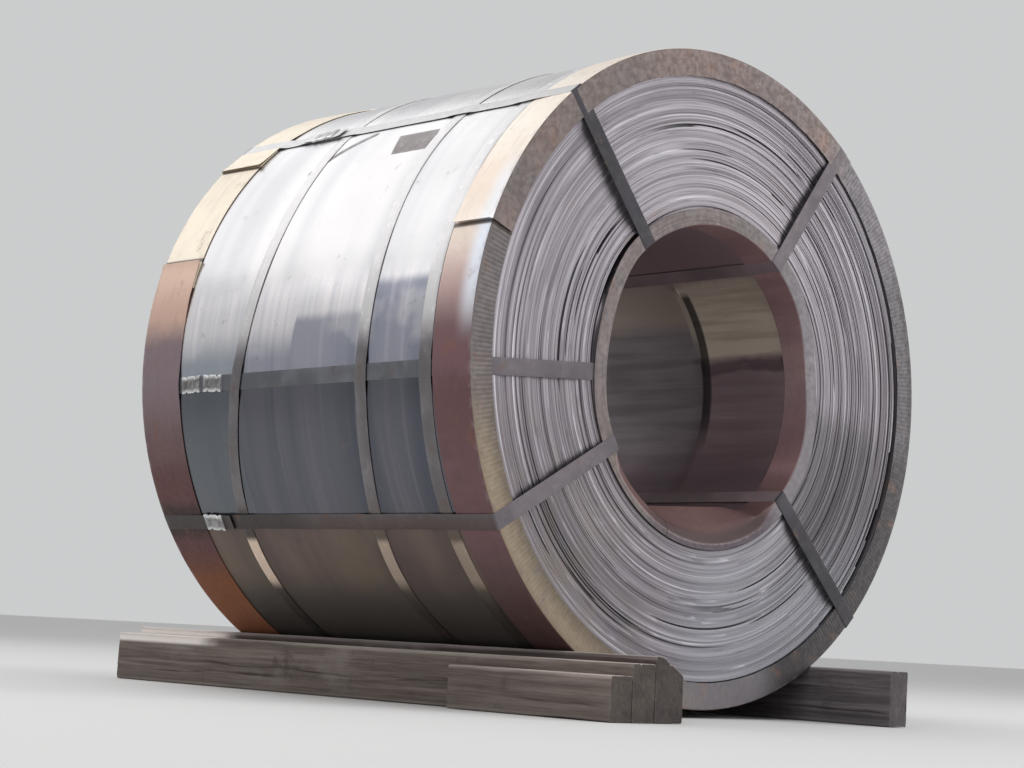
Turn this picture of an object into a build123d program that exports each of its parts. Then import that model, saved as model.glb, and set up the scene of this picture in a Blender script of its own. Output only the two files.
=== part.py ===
from build123d import *
import math
import os

# A coil of steel strip lying on its side in a timber cradle, in millimetres.
# The coil's axis is Y and +Z is up. The origin is on the bore's axis, halfway along the strip's width.
# Angles go round the axis from +X towards +Z, as seen from the near face, which looks to -Y.

# The coil
strip_width = 1000
bore_radius = 305
coil_radius = 640
inner_band_width = 45    # plain turns next to the bore, where the inner guard sits
outer_band_width = 70    # plain turns next to the barrel, where the outer guard sits
near_groups = 3          # groups of turns that stand back between those two bands at the near end
far_groups = 1           # and at the far end
group_depth = 4.0        # how far one group stands back from its neighbours
telescope_depth = 6.0    # how far the middle of the wound wall has slid back

# Steel strapping
strap_width = 32
strap_thickness = 0.8
seat_gap = 0.2           # between a piece and what it lies on
tail_length = 120        # the strap's end, which lies over its start under the seal

# Edge guards, L-shaped strips bent round the coil's four edges
guard_thickness = 1.2
outer_guard_face_leg = 50
near_barrel_leg = 100
far_barrel_leg = 130
guard_length = 1219
inner_guard_face_leg = 30
inner_guard_bore_leg = 70
inner_guard_joint = 4    # opening between the two ends of an inner guard
inner_guard_joint_angle = 250

# How the outer guard's lengths meet, and where they end in degrees
guard_lap = 60
guard_butt = 3           # opening where the near edge's last length meets the side one
near_upper_end_angle = 160.5
far_upper_end_angle = 137.5
far_side_start_angle = 160.7

# Straps through the bore, and bands round the barrel
tucked_strap_angle = 184.5
upper_left_strap_angle = 130
lower_left_strap_angle = 210
lower_right_strap_angle = 315
upper_right_strap_inset = 35     # from the end of the guard length that it holds down
band_guard_gap = 2       # between the near band and the near guard's barrel leg
middle_band_share = -0.195       # where a band lies, as a share of the strip's width from its middle
far_band_share = 0.18
band_seal_angle = 38

# Seals, the crimped sleeves that hold a strap's overlapping ends
seal_length = 58
seal_wall = 1.0
notch_pitch = 23
notch_width = 7
notch_depth = 4
seal_gap_to_guard = 10
seal_spacing = 72
upper_left_seal_shift = 99       # of this one from its row towards the middle

# Timber
ground_gap = 14          # below the lowest guard
plank_thickness = 57
front_plank_height = 103
cradle_height = 117
cradle_thickness = 73
contact_angle = 30       # of the cradle's bevel, from straight below the axis
bevel_width = 56
rear_chock_height = 110
rear_chock_thickness = 56
timber_length = 1570
near_overhang = 228      # of the front timbers past the coil's near face
rear_overhang = 203
block_thickness = 54
block_height = 81
block_length = 416
timber_gap = 0.4
timber_edge = 3

# Sizes that follow
half_width = strip_width / 2
strap_step = seat_gap + strap_thickness
guard_step = seat_gap + guard_thickness
seal_row = half_width - far_barrel_leg - seal_gap_to_guard - seal_length / 2

# Angles that follow
guard_sweep = math.degrees(guard_length / coil_radius)
lap_sweep = math.degrees(guard_lap / coil_radius)
near_upper_start_angle = near_upper_end_angle - guard_sweep


def bulge(radius):
    """How far a flat strap's middle stands off a round wall that its edges touch."""
    return radius - math.sqrt(radius ** 2 - (strap_width / 2) ** 2)


# Radii of the layers on the barrel, from the coil outwards
tucked_strap_base = coil_radius + seat_gap
guard_base = tucked_strap_base + strap_thickness + bulge(coil_radius) + seat_gap
raised_guard_base = guard_base + guard_step
strap_base = raised_guard_base + guard_step

# Distances of the layers on a face from the middle of the strip's width
tucked_strap_face = half_width + seat_gap
guard_face = tucked_strap_face + strap_step
raised_guard_face = guard_face + guard_step
strap_face = raised_guard_face + guard_step

# Radii of the layers in the bore, from the coil inwards
tucked_strap_bore = bore_radius - bulge(bore_radius) - seat_gap
inner_guard_radius = tucked_strap_bore - strap_step
inner_guard_wall = inner_guard_radius - guard_thickness
strap_bore = inner_guard_wall - bulge(inner_guard_wall) - seat_gap

floor_level = -(strap_base - seat_gap + ground_gap)
front_start = -half_width - near_overhang


def turned(profile, start, end):
    """A section given as (radius, distance along the axis), turned from one angle to another."""
    return revolve(profile, Axis.Y, end - start).rotate(Axis.Y, -end)


def end_outline(side, groups):
    """Stepped outline of one end from the bore out to the barrel, as (radius, distance along the axis)."""
    start = bore_radius + inner_band_width
    stop = coil_radius - outer_band_width
    face = side * half_width
    points = [(bore_radius, face)]
    for index in range(groups):
        radius = start + (stop - start) * index / groups
        slide = telescope_depth * math.sin(math.pi * (index + 0.5) / groups)
        level = face - side * (slide + group_depth * (index % 2))
        points += [(radius, points[-1][1]), (radius, level)]
    return points + [(stop, level), (stop, face), (coil_radius, face)]


def coil():
    outline = end_outline(-1, near_groups) + end_outline(1, far_groups)[::-1]
    return turned(make_face(Polyline(*outline, close=True)), 0, 360)


def l_section(heel_radius, face, barrel_leg, face_edge):
    """L-shaped section at the far end of the strip, from its heel along the axis and across the face."""
    along = Pos(heel_radius + guard_thickness / 2, face + guard_thickness - barrel_leg / 2)
    across = Pos((heel_radius + face_edge) / 2, face + guard_thickness / 2)
    section = along * Rectangle(guard_thickness, barrel_leg)
    return section + across * Rectangle(abs(face_edge - heel_radius), guard_thickness)


def outer_guards(end_name, barrel_leg, spans):
    """The lengths of outer guard at one end. A span is a length's start and end, and whether it is raised."""
    lengths = {}
    for name, (start, end, raised) in spans.items():
        base = raised_guard_base if raised else guard_base
        face = raised_guard_face if raised else guard_face
        length = turned(l_section(base, face, barrel_leg, coil_radius - outer_guard_face_leg), start, end)
        lengths[f"outer_guard_{end_name}_{name}"] = length.mirror(Plane.XZ) if end_name == "near" else length
    return lengths


def near_outer_guards():
    """The upper length laps over both others, and the long lower one butts against the side one."""
    side_start = near_upper_end_angle - lap_sweep
    side_end = side_start + guard_sweep
    lower_start = side_end + math.degrees(guard_butt / coil_radius)
    lower_end = near_upper_start_angle + lap_sweep + 360
    return outer_guards("near", near_barrel_leg, {
        "upper": (near_upper_start_angle, near_upper_end_angle, True),
        "side": (side_start, side_end, False),
        "lower": (lower_start, lower_end, False),
    })


def far_outer_guards():
    """Lengths laid over and under by turns, with a short one between the upper and the side one."""
    upper_start = far_upper_end_angle - guard_sweep
    side_end = far_side_start_angle + guard_sweep
    return outer_guards("far", far_barrel_leg, {
        "upper": (upper_start, far_upper_end_angle, True),
        "short": (far_upper_end_angle - lap_sweep, far_side_start_angle + lap_sweep, False),
        "side": (far_side_start_angle, side_end, True),
        "lower": (side_end - lap_sweep, upper_start + lap_sweep + 360, False),
    })


def inner_guard(side):
    """One L-shaped length sprung into the bore's edge, with its two ends almost meeting."""
    face_edge = bore_radius + inner_guard_face_leg
    section = l_section(inner_guard_wall, guard_face, inner_guard_bore_leg, face_edge)
    opening = math.degrees(inner_guard_joint / bore_radius)
    start = inner_guard_joint_angle + opening / 2
    ring = turned(section, start, start + 360 - opening)
    return ring if side > 0 else ring.mirror(Plane.XZ)


def strap_loop(angle, bore, base, face):
    """A flat strap creased into a loop through the bore, up each face and along the barrel."""
    width = base - bore
    height = 2 * face
    outside = Rectangle(width + 2 * strap_thickness, height + 2 * strap_thickness)
    outside = chamfer(outside.vertices(), (2 - math.sqrt(2)) * strap_thickness)
    loop = Pos((bore + base) / 2, 0) * (outside - Rectangle(width, height))
    return extrude(loop, strap_width / 2, both=True).rotate(Axis.Y, -angle)


def strap_tail(angle, base, centre_y):
    """The strap's free end, lying on the loop under the seal."""
    tail = Box(strap_thickness, tail_length, strap_width)
    return (Pos(base + strap_step + strap_thickness / 2, centre_y, 0) * tail).rotate(Axis.Y, -angle)


def eye_strap(angle, bore, base, face, seal_y):
    """A loop and its tail as one strap, joined where the tail leaves the loop."""
    loop = strap_loop(angle, bore, base, face)
    tail = strap_tail(angle, base, seal_y)
    fold_y = seal_y - tail_length / 2 + strap_thickness / 2
    fold = Pos(base + strap_step / 2 + strap_thickness / 2, fold_y, 0)
    fold *= Box(strap_step + strap_thickness, strap_thickness, strap_width)
    return loop + tail + fold.rotate(Axis.Y, -angle)


def seal(angle, base, centre_y):
    """A sleeve folded over both layers of strap, with two pairs of crimped notches."""
    inside = strap_width + 2 * seat_gap
    outside = inside + 2 * seal_wall
    top = base + strap_step + strap_thickness + seat_gap
    height = top + seal_wall - base
    sleeve = Pos(top + seal_wall - height / 2, 0, 0) * Box(height, seal_length, outside)
    sleeve -= Pos(top - height / 2, 0, 0) * Box(height, seal_length, inside)
    for place in (-notch_pitch / 2, notch_pitch / 2):
        for side in (-1, 1):
            notch = Polygon((-notch_width / 2, 0), (notch_width / 2, 0), (0, -side * notch_depth), align=None)
            cut = extrude(Plane.YZ * Pos(place, side * outside / 2) * notch, 2 * top)
            sleeve -= cut
    return (Pos(0, centre_y, 0) * sleeve).rotate(Axis.Y, -angle)


def belly_band(centre_y):
    """A band round the barrel, drawn tight over the tucked strap, with its tail under the seal."""
    ring = Pos(guard_base + strap_thickness / 2, centre_y) * Rectangle(strap_thickness, strap_width)
    return turned(ring, 0, 360)


def belly_seal(centre_y):
    """The band's seal lies across the barrel, so it is turned a quarter round its own middle."""
    lying = seal(0, guard_base - strap_step, 0)
    return (Pos(0, centre_y, 0) * lying.rotate(Axis.X, 90)).rotate(Axis.Y, -band_seal_angle)


def plank(x_low, x_high, height, y_start, length):
    """A sawn length standing on the floor, with its long edges a little rounded off."""
    body = Pos((x_low + x_high) / 2, y_start + length / 2, floor_level + height / 2)
    body *= Box(x_high - x_low, length, height)
    return chamfer(body.edges().filter_by(Axis.Y), timber_edge)


def bevel_top():
    """X of the line where the cradle's bevel, which touches the guard, meets its top."""
    reach = strap_base
    slope = math.radians(contact_angle)
    contact_x, contact_z = -reach * math.sin(slope), -reach * math.cos(slope)
    rise = floor_level + cradle_height - contact_z
    return contact_x - rise / math.tan(slope)


def cradle_timber():
    """The inner front timber, with its top corner bevelled where the coil lies."""
    top = floor_level + cradle_height
    x_bevel = bevel_top()
    x_inner = x_bevel + bevel_width
    drop = bevel_width * math.tan(math.radians(contact_angle))
    x_outer = x_inner - cradle_thickness
    outline = [(x_outer, floor_level), (x_outer, top), (x_bevel, top)]
    outline += [(x_inner, top - drop), (x_inner, floor_level)]
    section = Plane.XZ * make_face(Polyline(*outline, close=True))
    return extrude(section, -timber_length).moved(Location((0, front_start, 0)))


def front_plank_edge():
    return bevel_top() + bevel_width - cradle_thickness - timber_gap


def front_plank():
    x_high = front_plank_edge()
    return plank(x_high - plank_thickness, x_high, front_plank_height, front_start, timber_length)


def front_block():
    x_high = front_plank_edge() - plank_thickness - timber_gap
    return plank(x_high - block_thickness, x_high, block_height, front_start, block_length)


def rear_chock():
    """A plain timber whose blunted inner top edge takes the coil's other side, where no guard is lapped."""
    top = floor_level + rear_chock_height
    under_edge = math.sqrt(raised_guard_base ** 2 - (top - timber_edge) ** 2)
    over_edge = math.sqrt(raised_guard_base ** 2 - top ** 2) - timber_edge
    x_low = max(under_edge, over_edge)
    rear_start = -half_width - rear_overhang
    return plank(x_low, x_low + rear_chock_thickness, rear_chock_height, rear_start, timber_length)


def over_straps():
    """Angle and seal place of the straps over the guards, the last of them on the upper length's end."""
    inset = math.degrees(upper_right_strap_inset / coil_radius)
    return {
        "upper_left": (upper_left_strap_angle, seal_row - upper_left_seal_shift),
        "lower_left": (lower_left_strap_angle, seal_row),
        "lower_right": (lower_right_strap_angle, seal_row),
        "upper_right": (near_upper_start_angle + inset, seal_row),
    }


def band_places():
    near = -half_width + near_barrel_leg + band_guard_gap + strap_width / 2
    return {"near": near, "middle": middle_band_share * strip_width, "far": far_band_share * strip_width}


def build():
    parts = {"coil": coil(), "inner_guard_near": inner_guard(-1), "inner_guard_far": inner_guard(1)}
    parts.update(near_outer_guards())
    parts.update(far_outer_guards())
    parts["eye_strap_left"] = eye_strap(tucked_strap_angle, tucked_strap_bore, tucked_strap_base,
                                        tucked_strap_face, seal_row - seal_spacing / 2)
    for number, shift in enumerate((0, seal_spacing), start=1):
        parts[f"eye_seal_left_{number}"] = seal(tucked_strap_angle, tucked_strap_base, seal_row - shift)
    for name, (angle, seal_y) in over_straps().items():
        parts[f"eye_strap_{name}"] = eye_strap(angle, strap_bore, strap_base, strap_face, seal_y)
        parts[f"eye_seal_{name}"] = seal(angle, strap_base, seal_y)
    for name, place in band_places().items():
        parts[f"belly_band_{name}"] = belly_band(place)
        parts[f"belly_seal_{name}"] = belly_seal(place)
    parts["cradle_timber"] = cradle_timber()
    parts["front_plank"] = front_plank()
    parts["front_block"] = front_block()
    parts["rear_chock"] = rear_chock()
    return parts


os.makedirs("parts", exist_ok=True)
for node, shape in build().items():
    export_step(shape, f"parts/{node}.step")
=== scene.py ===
import math

import bmesh
import bpy
import numpy as np
from mathutils import Matrix, Vector


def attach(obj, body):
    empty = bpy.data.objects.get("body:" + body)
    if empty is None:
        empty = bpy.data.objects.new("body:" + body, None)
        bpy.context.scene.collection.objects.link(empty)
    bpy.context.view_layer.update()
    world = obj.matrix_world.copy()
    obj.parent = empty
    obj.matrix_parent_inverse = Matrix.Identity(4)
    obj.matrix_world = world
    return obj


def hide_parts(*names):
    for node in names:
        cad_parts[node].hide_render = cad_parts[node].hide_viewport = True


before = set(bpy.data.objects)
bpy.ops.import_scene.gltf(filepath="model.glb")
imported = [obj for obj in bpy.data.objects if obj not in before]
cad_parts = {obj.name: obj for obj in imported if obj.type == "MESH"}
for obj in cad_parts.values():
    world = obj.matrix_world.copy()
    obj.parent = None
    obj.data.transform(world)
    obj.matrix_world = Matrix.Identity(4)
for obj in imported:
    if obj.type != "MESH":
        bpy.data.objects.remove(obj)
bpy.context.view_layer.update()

# Lengths are in millimetres and angles in degrees, round the bore's axis from +X towards +Z.
# Looks use metres and radians instead, and lamps and the camera stand in metres, as these are Blender's own.
MM = 0.001
BORE, OUTSIDE, HALF = 305.0, 640.0, 500.0
STRAP, STRAP_T, GUARD_T = 32.0, 0.8, 1.2
FLOOR = -658.0

# Undersides of what lies on the barrel and on the faces
TUCKED, GUARD, RAISED, OVER = 640.2, 641.4, 642.8, 644.2
TUCKED_FACE, GUARD_FACE, RAISED_FACE, OVER_FACE = 500.2, 501.2, 502.6, 504.0
# In the bore: the tucked strap's underside, the inner guard's open side, the underside of straps over it
TUCKED_BORE, INNER_WALL, STRAP_BORE = 304.38, 302.18, 301.56
# Edges of the outer and the inner guards' face legs, and the lengths of the outer guards' barrel legs
OUTER_RIM, INNER_RIM = 590.0, 335.0
NEAR_LEG, FAR_LEG = 100, 130
# Undersides of a band where it crosses the tucked strap, and of its tail
BAND_ON_STRAP, BAND_TAIL = 641.15, 642.5
# How far a strap over the guards sinks between them, and the widest radius of a band's edge
SAG, LIMIT = 1.3, 642.4

# Where the tucked strap, the bands' seals, the outer wrap's end and the inner guards' joint are
TUCKED_ANGLE, BAND_SEAL_ANGLE, TAIL_ANGLE, INNER_JOINT = 184.5, 38.0, 301.3, 250
# Each strap over the guards: its angle, and its seal's angle, place along the axis and skew in radians
STRAPS = {
    "upper_left": (130.0, 130.0, 232.0, 0.10),
    "upper_right": (54.5, 54.49, 331.0, -0.03),
    "lower_left": (210.0, 210.0, 331.0, -0.05),
    "lower_right": (315.0, 315.0, 331.0, 0.04),
}
# The tucked strap's seals, as place and skew, and the bands' places
LEFT_SEALS = {"left_1": (331.0, 0.03), "left_2": (259.0, -0.04)}
SEAL_HEIGHT, BAND_SEAL_HEIGHT = 4.1, 4.6
BANDS = {"near": -382.0, "middle": -195.0, "far": 180.0}

# One length of outer guard, a lap and a butt joint, as angles, and where the lengths start and end
LENGTH, LAP, BUTT = 109.13, 5.37, 0.27
NEAR_TOP_END, FAR_TOP_END, FAR_SIDE_START = 160.5, 137.5, 160.7
NEAR_UPPER = (NEAR_TOP_END - LENGTH, NEAR_TOP_END)
NEAR_SIDE = (NEAR_TOP_END - LAP, NEAR_TOP_END - LAP + LENGTH)
NEAR_LOWER = (NEAR_SIDE[1] + BUTT, NEAR_UPPER[0] + LAP + 360)
FAR_UPPER = (FAR_TOP_END - LENGTH, FAR_TOP_END)
FAR_SHORT = (FAR_TOP_END - LAP, FAR_SIDE_START + LAP)
FAR_SIDE = (FAR_SIDE_START, FAR_SIDE_START + LENGTH)
FAR_LOWER = (FAR_SIDE[1] - LAP, FAR_UPPER[0] + LAP + 360)


# Numbers

def smooth(x, low, high):
    t = np.clip((np.asarray(x, float) - low) / (high - low), 0, 1)
    return t * t * (3 - 2 * t)


def window(x, low, high, soft):
    """1 between low and high, falling to 0 over soft on each side."""
    return smooth(x, low - soft, low) * (1 - smooth(x, high, high + soft))


def apart(angles, middle):
    """Signed distance in degrees from an angle."""
    return (angles - middle + 180) % 360 - 180


def hump(angles, middle, width):
    """Bell-shaped rise to 1 at an angle."""
    return np.exp(-(apart(angles, middle) / width) ** 2)


def wobble(x, period, octaves, seed, fall=0.6):
    """Smooth repeating noise in about -1..1 of a coordinate with that period."""
    r = np.random.default_rng(seed)
    total, weight = 0.0, 0.0
    for k in range(1, octaves + 1):
        size = fall ** (k - 1)
        total = total + size * np.sin(2 * np.pi * k * np.asarray(x) / period + r.uniform(0, 2 * np.pi))
        weight += size
    return total / weight * 1.4


def polar(radius, degrees, y):
    """Points in metres from a radius, an angle and a place along the axis."""
    a = np.radians(degrees)
    radius, a, y = np.broadcast_arrays(radius, a, y)
    return np.stack([radius * np.cos(a), y, radius * np.sin(a)], -1) * MM


AXIS = np.array([0, 1.0, 0])


def axes_at(degrees):
    """Directions outwards and round the coil at an angle."""
    a = math.radians(degrees)
    return np.array([math.cos(a), 0, math.sin(a)]), np.array([-math.sin(a), 0, math.cos(a)])


# Meshes

def grid_faces(rows, cols, wrap_rows=False, wrap_cols=False, first=0):
    """Quads over a grid of points that is stored row by row."""
    i = np.arange(rows if wrap_rows else rows - 1)
    j = np.arange(cols if wrap_cols else cols - 1)
    i, j = np.meshgrid(i, j, indexing="ij")
    a, b = i * cols + j, i * cols + (j + 1) % cols
    c, d = ((i + 1) % rows) * cols + (j + 1) % cols, ((i + 1) % rows) * cols + j
    return (np.stack([a, b, c, d], -1).reshape(-1, 4) + first).tolist()


def loft(stations, closed=False, first=0):
    """Faces over stations x section points, with flat caps where the path is open."""
    rows, cols = stations.shape[:2]
    faces = grid_faces(rows, cols, wrap_rows=closed, wrap_cols=True, first=first)
    if not closed:
        faces.append([first + j for j in range(cols)])
        faces.append([first + (rows - 1) * cols + j for j in range(cols - 1, -1, -1)])
    return faces


class Parts:
    """Several closed shells gathered into one mesh."""

    def __init__(self):
        self.verts, self.faces, self.count = [], [], 0

    def add(self, stations, closed=False):
        self.faces += loft(stations, closed, self.count)
        self.verts.append(stations.reshape(-1, 3))
        self.count += stations.shape[0] * stations.shape[1]

    def all_verts(self):
        return np.concatenate(self.verts)


def add_mesh(name, verts, faces, materials, nodes, sharp, attributes=None, index=None):
    """A closed mesh as a piece that rides on the body and stands for the given CAD nodes."""
    mesh = bpy.data.meshes.new(name)
    mesh.from_pydata(np.asarray(verts, float).reshape(-1, 3).tolist(), [], faces)
    for material in materials:
        mesh.materials.append(material)
    if index is not None:
        mesh.polygons.foreach_set("material_index", np.asarray(index, np.int32))
    for key, values in (attributes or {}).items():
        attribute = mesh.attributes.new(key, "FLOAT", "POINT")
        attribute.data.foreach_set("value", np.asarray(values, np.float32).ravel())
    work = bmesh.new()
    work.from_mesh(mesh)
    bmesh.ops.recalc_face_normals(work, faces=work.faces)
    work.to_mesh(mesh)
    work.free()
    mesh.polygons.foreach_set("use_smooth", np.ones(len(mesh.polygons), bool))
    mesh.set_sharp_from_angle(angle=math.radians(sharp))
    mesh.update()
    obj = bpy.data.objects.new(name, mesh)
    bpy.context.scene.collection.objects.link(obj)
    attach(obj, "root")
    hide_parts(*nodes)


# Material nodes

class Value:
    """What a material node gives. A sum or product of values is a node too."""

    def __init__(self, look, socket):
        self.look, self.socket = look, socket

    def __add__(self, other):
        return self.look.math("ADD", self, other)

    def __sub__(self, other):
        return self.look.math("SUBTRACT", self, other)

    def __rsub__(self, other):
        return self.look.math("SUBTRACT", other, self)

    def __mul__(self, other):
        return self.look.math("MULTIPLY", self, other)

    def __truediv__(self, other):
        return self.look.math("DIVIDE", self, other)

    def __abs__(self):
        return self.look.math("ABSOLUTE", self)


class Look:
    """A material and short calls for its nodes. Its places are the part's own, in metres."""

    def __init__(self, name):
        self.mat = bpy.data.materials.new(name)
        self.mat.use_nodes = True
        self.tree = self.mat.node_tree
        self.tree.nodes.clear()
        self.shader = self.tree.nodes.new("ShaderNodeBsdfPrincipled")
        out = self.tree.nodes.new("ShaderNodeOutputMaterial")
        self.tree.links.new(self.shader.outputs[0], out.inputs[0])
        self.place = self.node("TexCoord", {}, "Object")
        self.x, self.y, self.z = (self.node("SeparateXYZ", {0: self.place}, k) for k in range(3))
        self.radius = self.math("SQRT", self.x * self.x + self.z * self.z)
        self.angle = self.math("ARCTAN2", self.z, self.x)
        # Angle above the height of the axis, alike on both sides of the barrel
        self.up = self.math("ARCTAN2", self.z, abs(self.x))
        # The half of the barrel that the photo shows
        self.photo_side = self.ramp(self.x, 0.02, -0.02)

    def put(self, socket, value):
        if isinstance(value, Value):
            self.tree.links.new(value.socket, socket)
        else:
            socket.default_value = (*value, 1.0) if isinstance(value, tuple) else value

    def node(self, kind, inputs, output=0, **settings):
        """A new node with its settings and inputs, as the value that one of its outputs gives."""
        node = self.tree.nodes.new("ShaderNode" + kind)
        for key, setting in settings.items():
            setattr(node, key, setting)
        for key, value in inputs.items():
            self.put(node.inputs[key], value)
        return Value(self, node.outputs[output])

    def math(self, operation, *values):
        return self.node("Math", dict(enumerate(values)), operation=operation)

    def join(self, x, y, z):
        return self.node("CombineXYZ", {0: x, 1: y, 2: z})

    def ramp(self, value, low, high, to_low=0.0, to_high=1.0):
        """Smooth step of a value from one range to another, level outside it."""
        ends = {"From Min": low, "From Max": high, "To Min": to_low, "To Max": to_high}
        return self.node("MapRange", {"Value": value, **ends}, interpolation_type="SMOOTHSTEP")

    def close(self, value, middle, outer, inner):
        """1 where a value is within inner of the middle, falling to 0 at outer."""
        return self.ramp(abs(value - middle), outer, inner)

    def around(self, middle, half, soft):
        """1 within some degrees of an angle round the axis, falling to 0 over a few more."""
        a = math.radians(middle)
        toward = (self.x * math.cos(a) + self.z * math.sin(a)) / self.radius
        return self.ramp(toward, math.cos(math.radians(half + soft)), math.cos(math.radians(half)))

    def noise(self, vector, scale, detail, rough=0.55, distort=0.0):
        settings = {"Scale": scale, "Detail": detail, "Roughness": rough, "Distortion": distort}
        return self.node("TexNoise", {"Vector": vector, **settings})

    def turned_noise(self, across, along, round_by, detail, rough):
        """Noise that follows the coil: stretched along the turns and with no seam."""
        cosine, sine = self.x / self.radius, self.z / self.radius
        third = self.radius * across + self.y * along
        return self.noise(self.join(cosine * round_by, sine * round_by, third), 1.0, detail, rough)

    def patches(self, scale, detail, rough, low, high, to_low=0.0, to_high=1.0):
        """Patches where noise of that scale rises from a low to a high level."""
        return self.ramp(self.noise(self.place, scale, detail, rough), low, high, to_low, to_high)

    def attribute(self, name):
        return self.node("Attribute", {}, "Fac", attribute_name=name)

    def mix(self, factor, a, b):
        return self.node("Mix", {0: factor, 6: a, 7: b}, 2, data_type="RGBA")

    def scaled(self, colour, factor):
        """A colour made darker or lighter by a factor."""
        if isinstance(colour, tuple) and not isinstance(factor, Value):
            return tuple(factor * part for part in colour)
        grey = self.join(factor, factor, factor)
        return self.node("Mix", {0: 1.0, 6: colour, 7: grey}, 2, data_type="RGBA", blend_type="MULTIPLY")

    def layers(self, colour, *over):
        """A colour with others laid over it in turn, by their shares. A number scales what lies under it."""
        for share, other in over:
            if not isinstance(other, (tuple, Value)):
                other = self.scaled(colour, other)
            colour = self.mix(share, colour, other)
        return colour

    def finish(self, colour, rough, metal=0.0, bump=None, strength=0.3, distance=0.001, **constants):
        self.put(self.shader.inputs["Base Color"], colour)
        self.put(self.shader.inputs["Roughness"], rough)
        self.put(self.shader.inputs["Metallic"], metal)
        for key, value in constants.items():
            self.shader.inputs[key].default_value = value
        if bump is not None:
            bumped = self.node("Bump", {"Strength": strength, "Distance": distance, "Height": bump})
            self.put(self.shader.inputs["Normal"], bumped)
        return self.mat


# Looks of the coil

def ends_look():
    """Sheared edges of the turns: dull lilac grey, with streaks along each turn, dust, rust and painted light
    and shade.
    """
    m = Look("strip_ends")
    fine = m.turned_noise(520.0, 0.0, 1.6, 4.0, 0.7)
    broad = m.turned_noise(70.0, 0.0, 1.2, 3.0, 0.6)
    turn = m.attribute("turn")
    dull, pale, palest = (0.200, 0.178, 0.202), (0.350, 0.320, 0.354), (0.56, 0.54, 0.58)
    colour = m.mix(m.ramp(turn, 0.0, 1.0), dull, pale)
    colour = m.mix(m.ramp(turn, 1.0, 1.5), colour, palest)
    colour = m.mix(m.ramp(fine, 0.40, 0.62), m.scaled(colour, 0.68), colour)

    scuffed, cool = (0.47, 0.45, 0.49), (0.40, 0.42, 0.47)
    rust, dust = (0.235, 0.160, 0.125), (0.235, 0.190, 0.150)
    low_right = m.ramp(m.z, -0.20, -0.45) * m.ramp(m.x, -0.15, 0.05)
    low_left = m.ramp(m.z, 0.05, -0.45) * m.ramp(m.x, 0.0, -0.45)
    rusty_turns = m.ramp(m.turned_noise(160.0, 0.0, 0.9, 2.0, 0.55), 0.60, 0.70)
    colour = m.layers(
        colour,
        (m.ramp(broad, 0.52, 0.70, 0.0, 0.45), scuffed),
        (low_right * 0.40, cool),
        (rusty_turns * m.patches(5.0, 4.0, 0.6, 0.42, 0.60) * 0.45, rust),
        (low_left * m.patches(14.0, 5.0, 0.65, 0.36, 0.64) * 0.55, dust),
    )

    # Painted light and shade: the turns lighter far to the left, most higher up, and darker to the right and
    # low down.
    far_left = m.ramp(m.x, -0.490, -0.550) * m.ramp(m.z, -0.25, 0.15, 0.0, 0.45)
    light = m.ramp(m.x, 0.10, 0.36, 1.0, 0.80) * (m.ramp(m.z, -0.25, -0.05, 0.90, 1.0) + far_left)
    # Painted shadow on the turns low on the right, beside the lower right strap.
    painted_shadow = m.around(334, 13, 12) * m.ramp(m.radius, 0.515, 0.560, 0.78, 0.25)
    # A band of turns made darker low on the left.
    darker_band = m.ramp(m.radius, 0.455, 0.475) * m.ramp(m.radius, 0.550, 0.525)
    colour = m.layers(m.scaled(colour, light), (painted_shadow, 0.36), (m.around(230, 14, 12) * darker_band * 0.45, 0.40))

    # Painted shadows, partly grimy, beside the straps that stand off the face.
    shade_and_grime, gap_shade = (0.055, 0.048, 0.055), (0.014, 0.011, 0.013)
    reaches = {"upper_left": 0.036, "upper_right": 0.018, "lower_right": -0.024, "lower_left": -0.012}
    for name, reach in reaches.items():
        colour = m.mix(beside_strap(m, STRAPS[name][1], reach) * 0.72, colour, shade_and_grime)
    # Painted shade in the open gaps between the turns.
    colour = m.mix(m.attribute("gap_shade") * 0.93, colour, gap_shade)
    return m.finish(colour, m.ramp(fine, 0.3, 0.7, 0.38, 0.60), 0.40, fine + broad * 0.5, 0.35, 0.0012)


def beside_strap(m, degrees, reach):
    """Painted shadow, partly grimy, beside a strap on the face, at larger angles or, if the reach is
    negative, smaller ones.
    """
    radial, tangent = axes_at(degrees)
    across = (m.x * tangent[0] + m.z * tangent[2]) * math.copysign(1, reach)
    outward = m.x * radial[0] + m.z * radial[2]
    half = 0.5 * STRAP * MM
    return m.ramp(across, half + abs(reach), half) * m.ramp(across, 0.0, half) * m.ramp(outward, 0.30, 0.31)


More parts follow.
